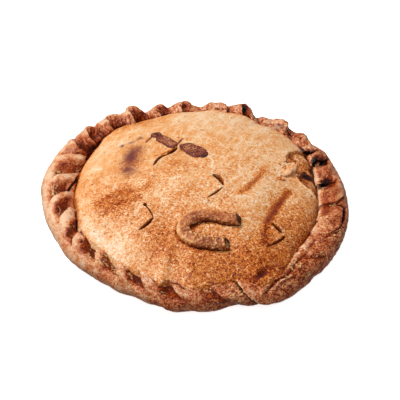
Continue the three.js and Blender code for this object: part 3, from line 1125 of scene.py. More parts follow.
    def surface(self) -> Body:
        """Vertices and faces of the closed body: lid grid, inner wall, and base rings to the middle.

        Returns:
            Points in the plan frame, and the faces.
        """
        share, theta = self.disc()
        spread = self.overreach * ((1.0 + self.crowding) * share - self.crowding * share ** 9)
        crease, _ = self.form.crease_at(theta)
        x = spread * crease * np.cos(theta)
        y = spread * crease * np.sin(theta)
        top = np.stack([x, y, self.skin.height(x, y)], axis=-1)
        faces = grid_quads(self.cells + 1, self.cells + 1, False).tolist()
        loop = self.rim_loop()
        round_angle = theta[loop]
        edge = self.form.outline(round_angle) - self.base_inset
        base = np.linspace(1.0, 1.0 / self.base_rings, self.base_rings)
        radii = [edge - self.wall_inset, *(edge * part for part in base)]
        rings = []
        for index, radius in enumerate(radii):
            ring = flat_points(radius * np.cos(round_angle), radius * np.sin(round_angle))
            dimple = self.base_relief * (0.5 + self.dimples.at(ring))
            ring[:, 2] = self.wall_level if index == 0 else dimple * min(1.0, (index - 1) / 2.0)
            rings.append(ring)
        count = len(loop)
        start = len(top)
        links = [loop, *(start + index * count + np.arange(count) for index in range(len(rings)))]
        for outer, inner in zip(links, links[1:]):
            faces += np.stack([outer, inner, np.roll(inner, -1), np.roll(outer, -1)], axis=1).tolist()
        middle = start + len(rings) * count
        faces += np.stack([np.roll(links[-1], -1), links[-1], np.full(count, middle)], axis=1).tolist()
        return np.concatenate([top, *rings, np.zeros((1, 3))]), faces

    def blade(self, arm: SlitArm) -> Body:
        """Closed wedge that opens one slit arm: a lens along the arm, narrower at its foot.

        Args:
            arm: the arm to open.

        Returns:
            Points in the plan frame, and the faces.
        """
        share = np.linspace(0.0, 1.0, self.slit_stations)
        line = arm.centre_line(share)
        across = sideways(line)
        half = arm.gape / 2.0 * np.clip(np.sin(np.pi * share), self.slit_tip, 1.0) ** self.slit_bluntness
        floor = self.skin.height(line[:, 0], line[:, 1]) - self.slit_depth
        head, foot = (1.0, self.blade_height), (self.slit_foot, 0.0)
        corners = []
        for side, (width, rise) in ((1.0, head), (-1.0, head), (-1.0, foot), (1.0, foot)):
            wave = 1.0 + self.slit_wave.at(flat_points(line[:, 0], line[:, 1], side))
            plan = line + across * (side * width * half * wave)[:, None]
            corners.append(np.column_stack([plan, floor + rise]))
        points = np.stack(corners, axis=1).reshape(-1, 3)
        last = (self.slit_stations - 1) * 4
        faces = grid_quads(self.slit_stations, 4, True).tolist()
        return points, faces + [[3, 2, 1, 0], [last, last + 1, last + 2, last + 3]]

    def cut_slits(self, piece: bpy.types.Object) -> None:
        """Cut every slit arm out of the lid with its wedge and keep the cut mesh.

        Args:
            piece: the lid's object.
        """
        for arm in VENT_SLITS:
            points, faces = self.blade(arm)
            wedge = self.mesh_object("slit_wedge", points, faces)
            cut = piece.modifiers.new("slit", "BOOLEAN")
            cut.operation = "DIFFERENCE"
            cut.solver = "MANIFOLD"
            cut.object = wedge
            shown = piece.evaluated_get(bpy.context.evaluated_depsgraph_get())
            shaped = bpy.data.meshes.new_from_object(shown)
            piece.modifiers.clear()
            old = piece.data
            piece.data = shaped
            bpy.data.meshes.remove(old)
            bpy.data.objects.remove(wedge)
        piece.data.materials.clear()
        piece.data.polygons.foreach_set("material_index", np.zeros(len(piece.data.polygons), dtype=np.int32))

    def masks(self, points: Array) -> dict[Mask, Array]:
        """Marks of baking over the lid, from the plan place and the depth under the skin, with painted shade
        in the slits, in the crease along the border and round the strip, and painted sheen at the left front.

        Args:
            points: vertices in the plan frame.

        Returns:
            Values for each mask.
        """
        x, y, z = points.T
        flat = flat_points(x, y)
        upper = z > self.underside
        radius, _ = self.form.crease_at(np.arctan2(y, x))
        share = np.hypot(x, y) / radius
        back, front, right = self.bake_slopes
        toast_and_shade = self.bake + back * np.maximum(y, 0.0) + front * np.minimum(y, 0.0) + right * x
        toast_and_shade += sum(cloud.at(flat) for cloud in self.clouds)
        toast_and_shade += sum(blot.over(x, y) for blot in self.bake_and_light_blots)
        toast_and_shade += sum(streak.over(x, y) for streak in self.toast_streaks)
        # Painted shade in the crease along the border: a darker band at the lid's edge, weaker at the front
        # and at the right.
        rear = 1.0 - 0.8 * ease(-y, 40.0, 100.0)
        edge, lean = self.edge_shade
        toast_and_shade += rear * (edge + lean * x / radius) * ease(share, self.edge_from, 1.0)
        smeared = sum(streak.over(x, y) for streak in self.stain_streaks)
        marks = (*self.stain_blots, *self.stain_streaks)
        stain = sum(mark.over(x, y) for mark in marks) * (0.8 + self.stain_patches.at(flat))
        # Painted shadow on the lid along the strip's foot, except towards its right ends.
        beside = path_distance(x, y, STRIP_ROUTE) - self.strip_half
        toast_and_shade += self.strip_shade * bell(beside, 0.0, 1.0) * (1.0 - ease(x, 12.0, 22.0))
        sunk = self.skin.height(x, y) - z
        # The slits' walls get more toast and char colour as painted shade, less in the wide middle slit.
        inside = ease(sunk, *self.slit_span) * (share < 0.98) * upper
        torn = self.skin.tear(x, y) * upper
        pool = sum(blot.over(x, y) for blot in self.tear_pools) * torn
        toast_and_shade += torn * (self.torn_bake + self.torn_patches.at(flat) + self.torn_rim * (1.0 - torn))
        soaked = ease(pool, *self.pool_span)
        toast_and_shade += 0.5 * soaked
        toast_and_shade = np.where(upper, toast_and_shade, self.base_bake + self.base_patches.at(flat))
        dark = self.darkest - self.less_shaded_slit.over(x, y)
        burnt = self.darkest * ease(pool, *self.pool_char)
        return {
            Mask.TOAST_AND_SHADE: toast_and_shade + self.slit_shade * inside,
            Mask.STAIN: stain * upper + 0.7 * soaked,
            Mask.PALE: upper * sum(crack.over(x, y) for crack in self.cracks),
            Mask.SMOOTH: 0.38 * ease(0.8 * y - 0.4 * x, -20.0, 60.0) + 1.2 * smeared,
            Mask.CHAR_AND_SHADE: dark * inside * ease(sunk, *self.slit_shade_span) + burnt,
        }

    def build(self) -> None:
        """Make, cut and dress the lid."""
        piece = self.mesh_object("baked_lid", *self.surface())
        self.cut_slits(piece)
        self.paint(piece, self.masks(self.plan_points(piece)))
        piece.data.set_sharp_from_angle(angle=SHARP_ANGLE)
        self.dress(piece, LID_FINISH, Slot.LID, "crust")


# Section angles at which the path of each lip is given.
LIP_ANGLES = np.radians((0.0, 57.0, 85.0, 110.0, 145.0))


@dataclass(frozen=True)
class Crimp:
    """One crimp of the rope: the path of its lip, and the hollow that lies before it.

    The path gives the lip's places, counted in folds, at the section angles LIP_ANGLES. The lip
    stands proud and the hollow sinks by millimetres; the hollow reaches back over a share of the
    gap to the last lip. Both fade out below the section angle start, and the hollow above top.
    The face is the share by which the dough before the lip is darkened up to the crest, partly as deeper
    toast and partly as painted shade.
    """

    path: tuple[float, float, float, float, float]
    lip: float
    hollow: float
    width: float
    start: float
    top: float = 170.0
    face: float = 0.0


CRIMPS = tuple(Crimp(*row) for row in (
    ((-0.65, -0.65, -0.62, -0.58, -0.5), 0.8, 2.2, 0.25, 50),
    ((0.2, 0.3, 0.4, 0.5, 0.75), 0.3, 2.4, 0.3, 75),
    ((1.1, 1.25, 1.5, 1.7, 1.85), 0.3, 2.2, 0.3, 60),
    ((1.95, 2, 2.17, 2.3, 2.6), 0.4, 3.4, 0.4, 55),
    ((3.4, 3.55, 3.57, 3.6, 3.7), 0.6, 2, 0.5, 60),
    ((5.05, 5.15, 5.15, 5.1, 5.1), 0.6, 0.5, 0.2, 60),
    ((5.55, 5.66, 5.68, 5.66, 5.6), 0.8, 3.5, 0.75, 70),
    ((6.2, 6.28, 6.3, 6.35, 6.4), 0.5, 1.6, 0.5, 70),
    ((7.9, 8.1, 8.32, 8.45, 8.5), 0.8, 3.5, 0.25, 80),
    ((9.2, 9.35, 9.42, 9.45, 9.5), 0.8, 4.5, 0.5, 85, 170, 0.7),
    ((9.9, 10.2, 10.4, 10.5, 10.55), 1, 4.5, 0.6, 85, 170, 0.9),
    ((10.6, 11.05, 11.28, 11.45, 11.55), 1.2, 5.5, 0.72, 85, 170, 1),
    ((11.4, 11.85, 12.15, 12.42, 12.5), 1, 5.5, 0.66, 85, 170, 1),
    ((12.3, 12.5, 12.75, 13.03, 13.1), 1, 5.5, 0.66, 80, 170, 0.6),
    ((13.3, 13.42, 13.42, 13.32, 13.15), 0.8, 3, 0.7, 75),
    ((14.4, 14.45, 14.45, 14.4, 14.12), 1, 4.2, 0.8, 82, 150),
    ((15.35, 15.36, 15.34, 15.26, 15.1), 1, 4.2, 0.8, 68, 124),
    ((16.3, 16.32, 16.22, 16.08, 16.02), 1.2, 4.2, 0.8, 70, 128),
    ((17.15, 17.14, 17.13, 17.1, 17.05), 0.8, 5, 0.56, 55),
    ((18.2, 18.16, 18.12, 18.1, 18.1), 0.9, 4.8, 0.74, 60),
    ((18.98, 18.98, 18.98, 18.97, 18.95), 0.9, 4.8, 0.76, 52),
    ((19.9, 19.84, 19.81, 19.78, 19.75), 0.9, 4, 0.72, 45),
    ((21.1, 20.92, 20.87, 20.85, 20.85), 1, 4.4, 0.6, 40),
    ((22.1, 22.06, 22.02, 22, 22), 0.4, 1.6, 0.5, 30),
    ((22.7, 22.8, 22.93, 23.02, 23.1), 1.6, 5.5, 0.14, -10),
    ((24, 24.1, 24.2, 24.3, 24.4), 0.4, 0.6, 0.3, 40),
    ((25, 25.1, 25.2, 25.3, 25.5), 0.2, 0.4, 0.3, 60),
    ((26, 26.08, 26.2, 26.4, 26.7), 0.5, 1, 0.3, 40),
    ((27.4, 27.5, 27.55, 27.6, 27.9), 0.5, 1.2, 0.25, 60),
    ((28.4, 28.5, 28.55, 28.6, 28.8), 0.2, 0.3, 0.3, 80),
))


@dataclass(frozen=True)
class Spot:
    """A soft mark on the border, at a place counted in folds and a section angle in degrees.

    It has reaches across and along the fold, a depth in millimetres, char and paleness.
    """

    place: float
    phi: float
    across: float
    along: float
    depth: float
    char: float = 0.0
    pale: float = 0.0

    def over(self, place: Array, phi: Array) -> Array:
        """Share from 0 to 1: a gaussian of the distances across and along the fold, in reaches."""
        gap = fold_gap(place, self.place)
        return bell(gap, 0.0, self.across) * bell(np.degrees(phi), self.phi, self.along)


@dataclass(frozen=True)
class Seam:
    """A line on the border through places and section angles.

    It has a half width and a depth in millimetres, char and paleness.
    """

    path: Pairs
    reach: float
    depth: float
    char: float = 0.0
    pale: float = 0.0
    pitch: float = 28.5
    bend: float = 0.235

    def over(self, place: Array, phi: Array) -> Array:
        """Share of the seam: a gaussian of the distance in millimetres on the border rolled out flat.

        Args:
            place: places counted in folds.
            phi: section angles.

        Returns:
            Shares from 0 to 1.
        """
        near = fold_gap(place, self.path[0][0]) + self.path[0][0]
        flat = tuple((spot * self.pitch, angle * self.bend) for spot, angle in self.path)
        return bell(path_distance(near * self.pitch, np.degrees(phi) * self.bend, flat), 0.0, self.reach)


@dataclass(frozen=True)
class Zone:
    """A stretch of the border that gains or loses a share of toast.

    Along the section the share rises between two angles in degrees and falls between two others.
    """

    place: float
    reach: float
    share: float
    rise: Pair = (-200.0, -190.0)
    fall: Pair = (200.0, 210.0)

    def over(self, place: Array, phi: Array) -> Array:
        """Share gained: a bell of the place, times the rise, times what the fall leaves."""
        kept = ease_degrees(phi, *self.rise) * (1.0 - ease_degrees(phi, *self.fall))
        return self.share * bell(fold_gap(place, self.place), 0.0, self.reach) * kept


# Burnt pits and pale swellings that show on the border.
BORDER_SPOTS = tuple(Spot(*row) for row in (
    (0.6, 124, 0.13, 26, 2.6, 1.4), (1.36, 72, 0.1, 18, 1, 1.2), (1.56, 96, 0.12, 20, 2.8, 1.4),
    (1.8, 130, 0.11, 22, 1.5, 1.4), (2.18, 94, 0.1, 18, 2.2, 1.3), (2.34, 116, 0.12, 14, 1.5, 1.2),
    (2.6, 138, 0.22, 9, 1, 1.1), (3.45, 109, 0.12, 11, 1.5, 0.6), (5.54, 86, 0.11, 34, 1, 1.3),
    (6.7, 110, 0.3, 7, 2, 0.35), (7.4, 114, 0.35, 7, 2, 0.3), (8.15, 78, 0.09, 20, 1, 0.5),
    (9.28, 141, 0.06, 6, 3.5, 1.2), (12.68, 141, 0.2, 12, 3, 0.7), (13.28, 149, 0.07, 8, 3, 1.2),
    (14.48, 149, 0.08, 9, 3, 1.2), (13.45, 128, 0.12, 14, -1.6, 0, 0.35),
    (14.56, 127, 0.12, 14, -1.6, 0, 0.35), (15.4, 118, 0.1, 12, -1.2, 0, 0.35),
    (17.41, 76, 0.05, 6.5, 3, 0.9), (25.5, 128, 0.09, 10, 2, 1), (27.1, 146, 0.08, 11, 2.2, 1.1),
    (28.62, 146, 0.08, 11, 2.2, 1.1), (24, 116, 0.2, 12, 1, 0.5), (27.36, 89, 0.08, 6, 1.2, 0.6),
    (-0.08, 102, 0.3, 46, -2.8), (1.02, 102, 0.25, 46, -3), (1.9, 92, 0.15, 40, -2.2),
    (2.72, 92, 0.14, 24, -1.5, 0, 0.2), (8.05, 110, 0.22, 14, -1.2, 0, 0.45),
    (4.4, 104, 0.18, 9, -0.8, 0, 0.5), (3.8, 80, 0.2, 30, -1), (2.45, 74, 0.1, 16, -1.3, 0, 0.2),
    (2.95, 128, 0.1, 10, -1, 0, 0.3), (3.15, 112, 0.12, 14, -1.4, 0, 0.3),
    (3.4, 72, 0.1, 14, -1.3, 0, 0.2), (3.62, 98, 0.12, 16, -1.7, 0, 0.25),
    (3.9, 120, 0.14, 9, -1, 0, 0.3), (4.15, 88, 0.13, 20, -1.5, 0, 0.25), (2.95, 96, 0.07, 9, 1.6, 0.5),
    (3.35, 88, 0.06, 10, 1.4, 0.4), (3.95, 104, 0.08, 7, 1.4, 0.5), (4.3, 90, 0.06, 12, 1.2, 0.3),
    (16.24, 108, 0.14, 16, -1.2, 0, 0.25), (14.62, 106, 0.12, 10, -1, 0, 0.4),
    (23.5, 12, 0.6, 26, -1.2),
))
# Cracks, folds and layers that run over the border; the last two are grooves along the lid's edge whose char
# is painted shade in the gap.
BORDER_SEAMS = tuple(Seam(*row) for row in (
    (((23.03, 110), (22.93, 85), (22.85, 65), (22.75, 45), (22.7, 12)), 1, 1.5, 1.1),
    (((27.6, 80), (27.66, 62), (27.82, 51), (28.1, 46)), 0.8, 2.5, 1.1),
    (((28.05, 46), (28.4, 45), (28.66, 48)), 1.6, 4.5, 1.3),
    (((28.6, 47), (28.9, 58), (29.05, 68), (29.2, 82)), 0.7, 2.5, 1.1),
    (((24.1, 74), (25, 104), (26, 122), (27.4, 132), (28.2, 134)), 2.2, -1.3, 0, 0.2),
    (((24.4, 66), (25.2, 92), (26.1, 107), (27.3, 115)), 1.1, 1.3, 0.35),
    (((26.1, 62), (26.2, 90), (26.45, 108), (26.7, 122)), 1.3, -1.2, 0, 0.35),
    (((27.2, 88), (27.35, 100), (27.6, 118), (27.85, 134)), 1.3, -1, 0, 0.35),
    (((28.3, 112), (28.6, 130), (28.8, 146)), 1.4, -1, 0, 0.35),
    (((23.1, 38), (23.4, 52), (23.65, 65), (23.9, 75), (24.2, 78)), 0.9, -1.5, 0, 0.4),
    (((23.6, 42), (24, 58), (24.3, 62), (24.65, 60)), 0.9, -1.4, 0, 0.45),
    (((23.3, 40), (23.7, 54), (24, 67), (24.4, 70)), 0.6, 1.2, 0.6),
    (((23.72, 2), (23.78, 24), (23.82, 44)), 0.9, 0.8, 0.45),
    (((19.94, 93), (20.05, 82), (20.2, 70), (20.34, 66)), 0.9, -1.3, 0, 0.55),
    (((20.06, 94), (20.16, 82), (20.3, 73)), 0.5, 1, 0.5),
    (((20.16, 95), (20.26, 84), (20.38, 76)), 0.8, -1, 0, 0.5),
    (((20.88, 88), (20.98, 96), (21.14, 92), (21.25, 78), (21.4, 68)), 0.9, -1.4, 0, 0.6),
    (((20.98, 86), (21.1, 83), (21.2, 70)), 0.6, 1.2, 0.6),
    (((14.3, 146), (14.7, 135), (15.15, 126)), 0.9, 2.4, 1.1),
    (((16.2, 134), (16.6, 120), (17, 102), (17.3, 98)), 0.9, 1.6, 0.7),
))
BORDER_MARKS = BORDER_SPOTS + BORDER_SEAMS
# Where blisters gather; the depth is the share by which they do.
BLISTER_CLUSTERS = tuple(Spot(*row) for row in (
    (14.9, 72, 0.2, 14, 0.7), (15.85, 86, 0.18, 14, 0.8), (16.2, 68, 0.2, 12, 0.7),
    (17.9, 80, 0.18, 12, 0.5), (19.3, 70, 0.16, 14, 0.8), (19.36, 34, 0.14, 24, 1.1),
    (20.85, 52, 0.12, 10, 0.7), (21.9, 80, 0.16, 12, 0.8), (22.3, 94, 0.25, 8, 0.7),
    (24.6, 68, 0.2, 10, 0.7), (26.2, 66, 0.16, 20, 0.6), (27.3, 66, 0.16, 12, 0.5),
    (28.4, 106, 0.2, 12, 0.7), (0.9, 116, 0.3, 16, 0.7), (0, 120, 0.16, 12, 0.7),
    (28.75, 118, 0.14, 12, 1.1), (25.4, 84, 0.3, 16, 0.5),
))
# Size of the rope along its crest: place, and share of the plain section.
CREST_SHARES = (
    (0, 0.92), (0.5, 0.88), (1, 0.92), (1.2, 0.96), (1.4, 1), (1.6, 1.02), (1.75, 0.97), (1.9, 0.9),
    (2.1, 0.7), (2.3, 0.7), (2.5, 0.82), (2.7, 1), (2.9, 0.9), (3, 0.8), (3.2, 0.68), (3.36, 0.77),
    (3.48, 0.86), (3.6, 0.98), (3.75, 1.12), (3.95, 1.08), (4.08, 0.98), (4.18, 0.82), (4.3, 0.77),
    (4.5, 0.72), (4.65, 0.7), (4.72, 0.4), (4.78, 0.12), (4.9, 0.12), (5, 0.5), (5.1, 0.8),
    (5.15, 0.96), (5.2, 1.03), (5.35, 1.25), (5.46, 1.36), (5.6, 1.3), (5.8, 1.15), (6, 1), (6.1, 0.9),
    (6.28, 0.84), (6.34, 1.02), (6.5, 1.1), (6.75, 1.02), (6.95, 1), (7.05, 0.9), (7.1, 0.78),
    (7.3, 0.62), (7.5, 0.66), (7.7, 0.78), (7.8, 1), (7.95, 1.08), (8.15, 1.06), (8.3, 1), (8.45, 0.86),
    (8.6, 0.7), (8.72, 0.64), (8.8, 0.7), (8.9, 0.9), (9, 1), (9.14, 0.98), (9.24, 0.82), (9.4, 0.58),
    (9.66, 0.54), (9.76, 0.84), (9.86, 1.12), (9.96, 1.26), (10.08, 1.3), (10.18, 1.24), (10.24, 1.02),
    (10.45, 0.93), (10.53, 0.9), (10.6, 1), (10.7, 1.09), (10.85, 1.14), (10.98, 1.13), (11.09, 1.02),
    (11.4, 0.99), (11.52, 0.82), (11.6, 0.96), (11.68, 1.07), (11.76, 1.12), (11.84, 1.1),
    (11.89, 1.02), (12.2, 0.96), (12.36, 0.85), (12.42, 1), (12.49, 1.08), (12.54, 1.02), (12.9, 1.02),
    (13.5, 1.03), (17.8, 1.03), (18.2, 0.98), (18.6, 1.02), (19, 0.98), (19.2, 0.98), (19.5, 1.03),
    (21.3, 1.03), (22.6, 1), (22.75, 1.06), (24.2, 1.08), (24.5, 0.98), (25, 0.97), (26, 1.02),
    (27, 1.05), (27.8, 1.04), (28.5, 1.03), (28.75, 0.96), (29, 0.9), (29.4, 0.94),
)
# Foot of the rope: place, and millimetres by which it draws in.
FOOT_INSETS = (
    (13.4, 0), (13.6, -1.8), (14.2, -1.8), (14.5, 0), (16.3, 0), (16.8, -2.2), (17.2, -1.8),
    (17.45, -1.6), (17.65, -1), (17.8, -0.6), (18.1, -0.8), (18.4, 0), (18.75, -1.6), (18.9, -0.8),
    (19.05, 0.3), (19.35, 0), (19.6, -1.4), (20.05, -1.4), (20.25, -4), (20.4, -4.4), (20.66, -2.4),
    (20.85, -0.8), (21, -0.8), (21.2, -1.2), (21.45, 0), (21.6, 1.5), (21.8, 4), (22.1, 5.4),
    (22.36, 1.4), (22.52, 1.4), (22.68, 2.5), (22.76, 0), (22.9, -2.6), (23.18, -3.6), (23.4, -3.4),
    (23.6, -3.4), (23.8, -1.9), (24.1, -1), (24.3, -0.6), (24.6, 1.5), (24.9, 0), (25.3, 0.4),
    (26, 0.2), (27, 0.2), (28, 0),
)
# Toast that the whole section gains: place, and share.
BORDER_BAKE = (
    (0, -0.08), (1, -0.1), (2, -0.12), (4, -0.1), (7.5, -0.11), (9, -0.13), (11.2, -0.16),
    (12.6, -0.05), (14, -0.06), (16.5, -0.06), (18, -0.02), (19.2, -0.08), (20.2, 0), (22, 0.1),
    (24, 0.06), (26, -0.03), (28, -0.05), (29.2, -0.06),
)
# Toast gained by parts of the section: front foot, right, right front, and the beads at the right. The front
# foot's toast is painted shade low on the skirt; the lighter inner sides at the right front and of the beads
# are painted light.
BAKE_AND_LIGHT_ZONES = (
    Zone(23.5, 3.5, 0.1, fall=(0, 45)),
    Zone(27.4, 2.6, 0.12),
    Zone(26.3, 1.5, -0.36, rise=(96, 128)),
    Zone(29.8, 1.5, -0.08),
    Zone(29.8, 1.5, 0.22, (70, 95), (122, 138)),
    Zone(29.8, 1.5, -0.44, rise=(122, 144)),
    Zone(1.5, 1.3, 0.2, (70, 95), (122, 138)),
)
# Stretches that are smoother than the rest: the left, and the beads at the right.
SMOOTH_ZONES = (Zone(14.5, 5.5, 0.34), Zone(29.8, 1.5, 0.3))


@dataclass(frozen=True)
class Chart:
    """Grid of the border's skin, rows by columns.

    It holds the place, the place where the column passes the crest, the section angle, the lip's
    rise, the hollow's depth, the sideways tuck, the distance in folds to the next lip, the share
    of dark face and that of the dark pocket in the hollow.
    """

    place: Array
    crest_place: Array
    phi: Array
    ridge: Array
    hollow: Array
    tuck: Array
    ahead: Array
    face: Array
    pocket: Array


@dataclass
class RopeBorder(Piece):
    """Rope-crimped edge: crimps that overlap in lips and hollows, with beads, cracks, burnt gaps, and dark
    gaps along the lid that are painted shade.
    """

    columns_per_fold: int = 36
    column_crowding: float = 0.6
    least_columns: int = 14
    skirt_rows: int = 20
    crest_rows: int = 56
    under_rows: int = 6
    hidden_rows: int = 6
    skirt_top: float = 30.0
    over_crease: float = 26.0
    body: float = 0.95
    thickness: float = 13.0
    lip_edge: float = 0.06
    lip_reach: float = 0.3
    tuck: float = 0.06
    layer_depth: float = 0.4
    blister_depth: float = 0.7
    hidden_inset: float = 27.0
    hidden_level: float = 0.5
    foot_inset: float = 1.0
    plain_foot: float = 0.35
    least_scale: float = 0.2
    covered_sink: float = 0.26
    lip_fade: Pair = (-25.16, 11.84)
    top_fade: Pair = (-8.1, 9.9)
    full_hollow: float = 4.0
    blister_patches: Noise = Noise(0.9, 16.0, 2, 61)
    wrinkles: Noise = Noise(0.45, 1.0, 3, 63)
    rough: Noise = Noise(0.3, 3.2, 3, 64)
    knobs: Noise = Noise(1.6, 8.0, 2, 73)
    layer_wander: Noise = Noise(0.05, 1.0, 2, 69)
    layer_pitch: float = 0.12
    bake: float = 0.4
    hollow_bake_and_shade: float = 0.03
    ridge_bake: float = -0.16
    layer_bake: float = -0.2
    face_bake_and_shade: float = 0.12
    inner_bake_and_shade: float = 0.2
    clouds: tuple[Noise, ...] = (Noise(0.13, 14.0, 3, 65), Noise(0.15, 4.0, 3, 66))
    pocket_bake_and_shade: float = 0.46
    pocket_zones: tuple[Zone, ...] = (Zone(14.0, 2.0, -0.22), Zone(11.0, 2.0, -0.12))
    pocket_patches: Noise = Noise(0.5, 3.0, 3, 70)
    pale_side: Zone = Zone(14.6, 4.2, -0.3, fall=(62.0, 108.0))
    pale_faces: Zone = Zone(10.2, 1.8, -0.09)
    crease_shade: Zone = Zone(10.0, 5.0, 0.14)
    brown_front: Spot = Spot(25.8, 78.0, 1.6, 30.0, 0.2)
    ragged_side: Zone = Zone(5.2, 2.2, 1.0, rise=(60.0, 100.0))
    ragged_patches: Noise = Noise(0.5, 4.0, 3, 72)
    burnt_patches: Noise = Noise(0.6, 5.0, 3, 68)
    glaze: Zone = Zone(3.3, 1.2, 0.65, rise=(92.0, 108.0))
    glaze_patches: Noise = Noise(1.0, 7.0, 3, 74)

    @property
    def skin_rows(self) -> int:
        """Rows of the visible grid."""
        return self.skirt_rows + self.crest_rows + self.under_rows + 1

    def lip_place(self, lip: Array, phi: Array) -> Array:
        """Places of numbered lips at section angles: straight pieces between the angles of the paths.

        Args:
            lip: numbers of the lips; the one after the last is the first, a turn on.
            phi: section angles.

        Returns:
            Places counted in folds.
        """
        paths = np.array([crimp.path for crimp in CRIMPS])
        paths = np.vstack([paths, paths[:1] + FOLDS])
        piece = np.clip(np.searchsorted(LIP_ANGLES, phi) - 1, 0, len(LIP_ANGLES) - 2)
        share = (phi - LIP_ANGLES[piece]) / (LIP_ANGLES[piece + 1] - LIP_ANGLES[piece])
        share = np.clip(share, 0.0, 1.0)
        return (1.0 - share) * paths[lip, piece] + share * paths[lip, piece + 1]

    def columns(self) -> tuple[Array, Array]:
        """Columns of the grid, closest together at the lips.

        Returns:
            Number of the lip before each column, and its share of the way to the next lip.
        """
        starts = [crimp.path[2] for crimp in CRIMPS]
        gaps = np.diff([*starts, starts[0] + FOLDS])
        lips, shares = [], []
        for number, gap in enumerate(gaps):
            count = max(self.least_columns, round(gap * self.columns_per_fold))
            even = np.arange(count) / count
            shares.append(even - self.column_crowding / TURN * np.sin(TURN * even))
            lips.append(np.full(count, number))
        return np.concatenate(lips), np.concatenate(shares)

    def angles(self, lip: Array, share: Array) -> Array:
        """Section angles of the grid from the ground to under the lid; rows stand closest on the crest.

        Args:
            lip: number of the lip before each column.
            share: share of the way to the next lip.

        Returns:
            Angles as rows by columns.
        """
        inner = np.full(lip.shape, LIP_ANGLES[3])
        place = (1.0 - share) * self.lip_place(lip, inner) + share * self.lip_place(lip + 1, inner)
        crease = self.form.crease_angle(self.form.crest_angle(place))
        low, top = self.form.ground_angle, np.radians(self.skirt_top)
        skirt = low + np.arange(self.skirt_rows)[:, None] / self.skirt_rows * (top - low)
        skirt = np.broadcast_to(skirt, (self.skirt_rows, len(lip)))
        crest = top + np.arange(self.crest_rows)[:, None] / self.crest_rows * (crease - top)
        under = crease + np.linspace(0.0, np.radians(self.over_crease), self.under_rows + 1)[:, None]
        return np.concatenate([skirt, crest, under])

    def chart(self) -> Chart:
        """Lay out the grid and work out the crimps on it.

        Past each lip's edge the lip falls away as a gaussian; towards the next lip the hollow eases
        in; at the edge itself a quarter sine climbs from the hollow to the lip.

        Returns:
            The chart.
        """
        lip, share = self.columns()
        phi = self.angles(lip, share)
        first, last = self.lip_place(lip, phi), self.lip_place(lip + 1, phi)
        gap = last - first
        away = share * gap
        sizes = {name: np.array([getattr(crimp, name) for crimp in (*CRIMPS, CRIMPS[0])])
                 for name in ("lip", "hollow", "width", "start", "top", "face")}
        degrees = np.degrees(phi)

        def fade(number: Array) -> Array:
            """Share of a lip that is left at the section angles."""
            return ease(degrees - sizes["start"][number], *self.lip_fade)

        def sink(number: Array) -> Array:
            """Depth of the hollow before a lip at the section angles."""
            left = 1.0 - ease(degrees - sizes["top"][number], *self.top_fade)
            return sizes["hollow"][number] * fade(number) * left

        before, after = sink(lip), sink(lip + 1)
        up = np.sin(np.clip(away / self.lip_edge, 0.0, 1.0) * np.pi / 2.0)
        falling = bell(np.maximum(away - self.lip_edge, 0.0), 0.0, self.lip_reach)
        ridge = up * sizes["lip"][lip] * fade(lip) * falling
        width = sizes["width"][lip + 1]
        ahead = ease((share - 1.0) / width, -1.0, -0.3)
        hollow = (1.0 - up) * before + up * after * ahead
        under = bell(away, 0.0, 0.025) - 1.4 * bell(away, 0.075, 0.05)
        slide = np.clip(before / self.full_hollow, 0.0, 1.2) * under
        slide = slide + np.clip(after / self.full_hollow, 0.0, 1.2) * bell(gap - away, 0.0, 0.08)
        outer = np.full(lip.shape, LIP_ANGLES[1])
        crest_place = (1.0 - share) * self.lip_place(lip, outer) + share * self.lip_place(lip + 1, outer)
        inside = ease(degrees, 88.0, 104.0) * np.maximum(sizes["face"][lip], sizes["face"][lip + 1])
        face = np.maximum(up * ahead * ease(degrees, 48.0, 60.0) * sizes["face"][lip + 1], inside)
        pocket = up * ease((share - 1.0) / width, -1.15, -0.75) * np.clip(after / self.full_hollow, 0.0, 1.0)
        crest_place = np.broadcast_to(crest_place, phi.shape)
        tuck = self.tuck * slide
        return Chart(first + away, crest_place, phi, ridge, hollow, tuck, gap - away, face, pocket)

    def carved(self, chart: Chart) -> Array:
        """Depth in millimetres of all spots and seams together."""
        return sum(mark.depth * mark.over(chart.place, chart.phi) for mark in BORDER_MARKS)

    def section(self, chart: Chart) -> Array:
        """Border's skin: an ellipse that the crest shares, crimps and marks swell or sink.

        Args:
            chart: the laid-out grid.

        Returns:
            Points in the plan frame.
        """
        form = self.form
        place, phi = chart.place, chart.phi
        crest = form.crest_angle(place + chart.tuck * ease(phi, -0.2, 0.9))
        lean = form.slant[0] + form.slant[1] * np.maximum(0.0, np.cos(crest - np.radians(form.slant[2]))) ** 2
        theta = crest - lean * (phi - np.pi / 2.0) * np.where(phi > np.pi / 2.0, form.slant_inside, 1.0)
        covered = phi - form.crease_angle(theta)
        spots, shares = np.array(CREST_SHARES).T
        tall = np.interp(chart.crest_place, spots, shares, period=FOLDS) - 1.0
        tall = tall * ease_degrees(phi, -20.0, 40.0) * (1.0 - ease_degrees(phi, 105.0, 135.0))
        lifted = chart.ridge * (1.0 - ease(covered, -0.1, 0.05)) - chart.hollow - self.carved(chart)
        scale = self.body * (1.0 + tall) + lifted / self.thickness
        scale = np.maximum(self.least_scale, scale - self.covered_sink * ease(covered, -0.04, 0.16))
        half = form.rim_width.around(theta) / 2.0
        height = form.crest_height.around(theta)
        axis = height * form.axis_share
        spots, depths = np.array(FOOT_INSETS).T
        inward = np.interp(place % FOLDS, spots, depths) * (1.0 - ease_degrees(phi, -10.0, 50.0))
        inward = inward + form.crease_inset(theta) * ease_degrees(phi, 85.0, 140.0)
        radius = form.outline(theta) - half + half * scale * np.cos(phi) - inward
        z = np.maximum(0.0, axis + (height - axis) * np.where(phi < 0.0, 1.0, scale) * np.sin(phi))
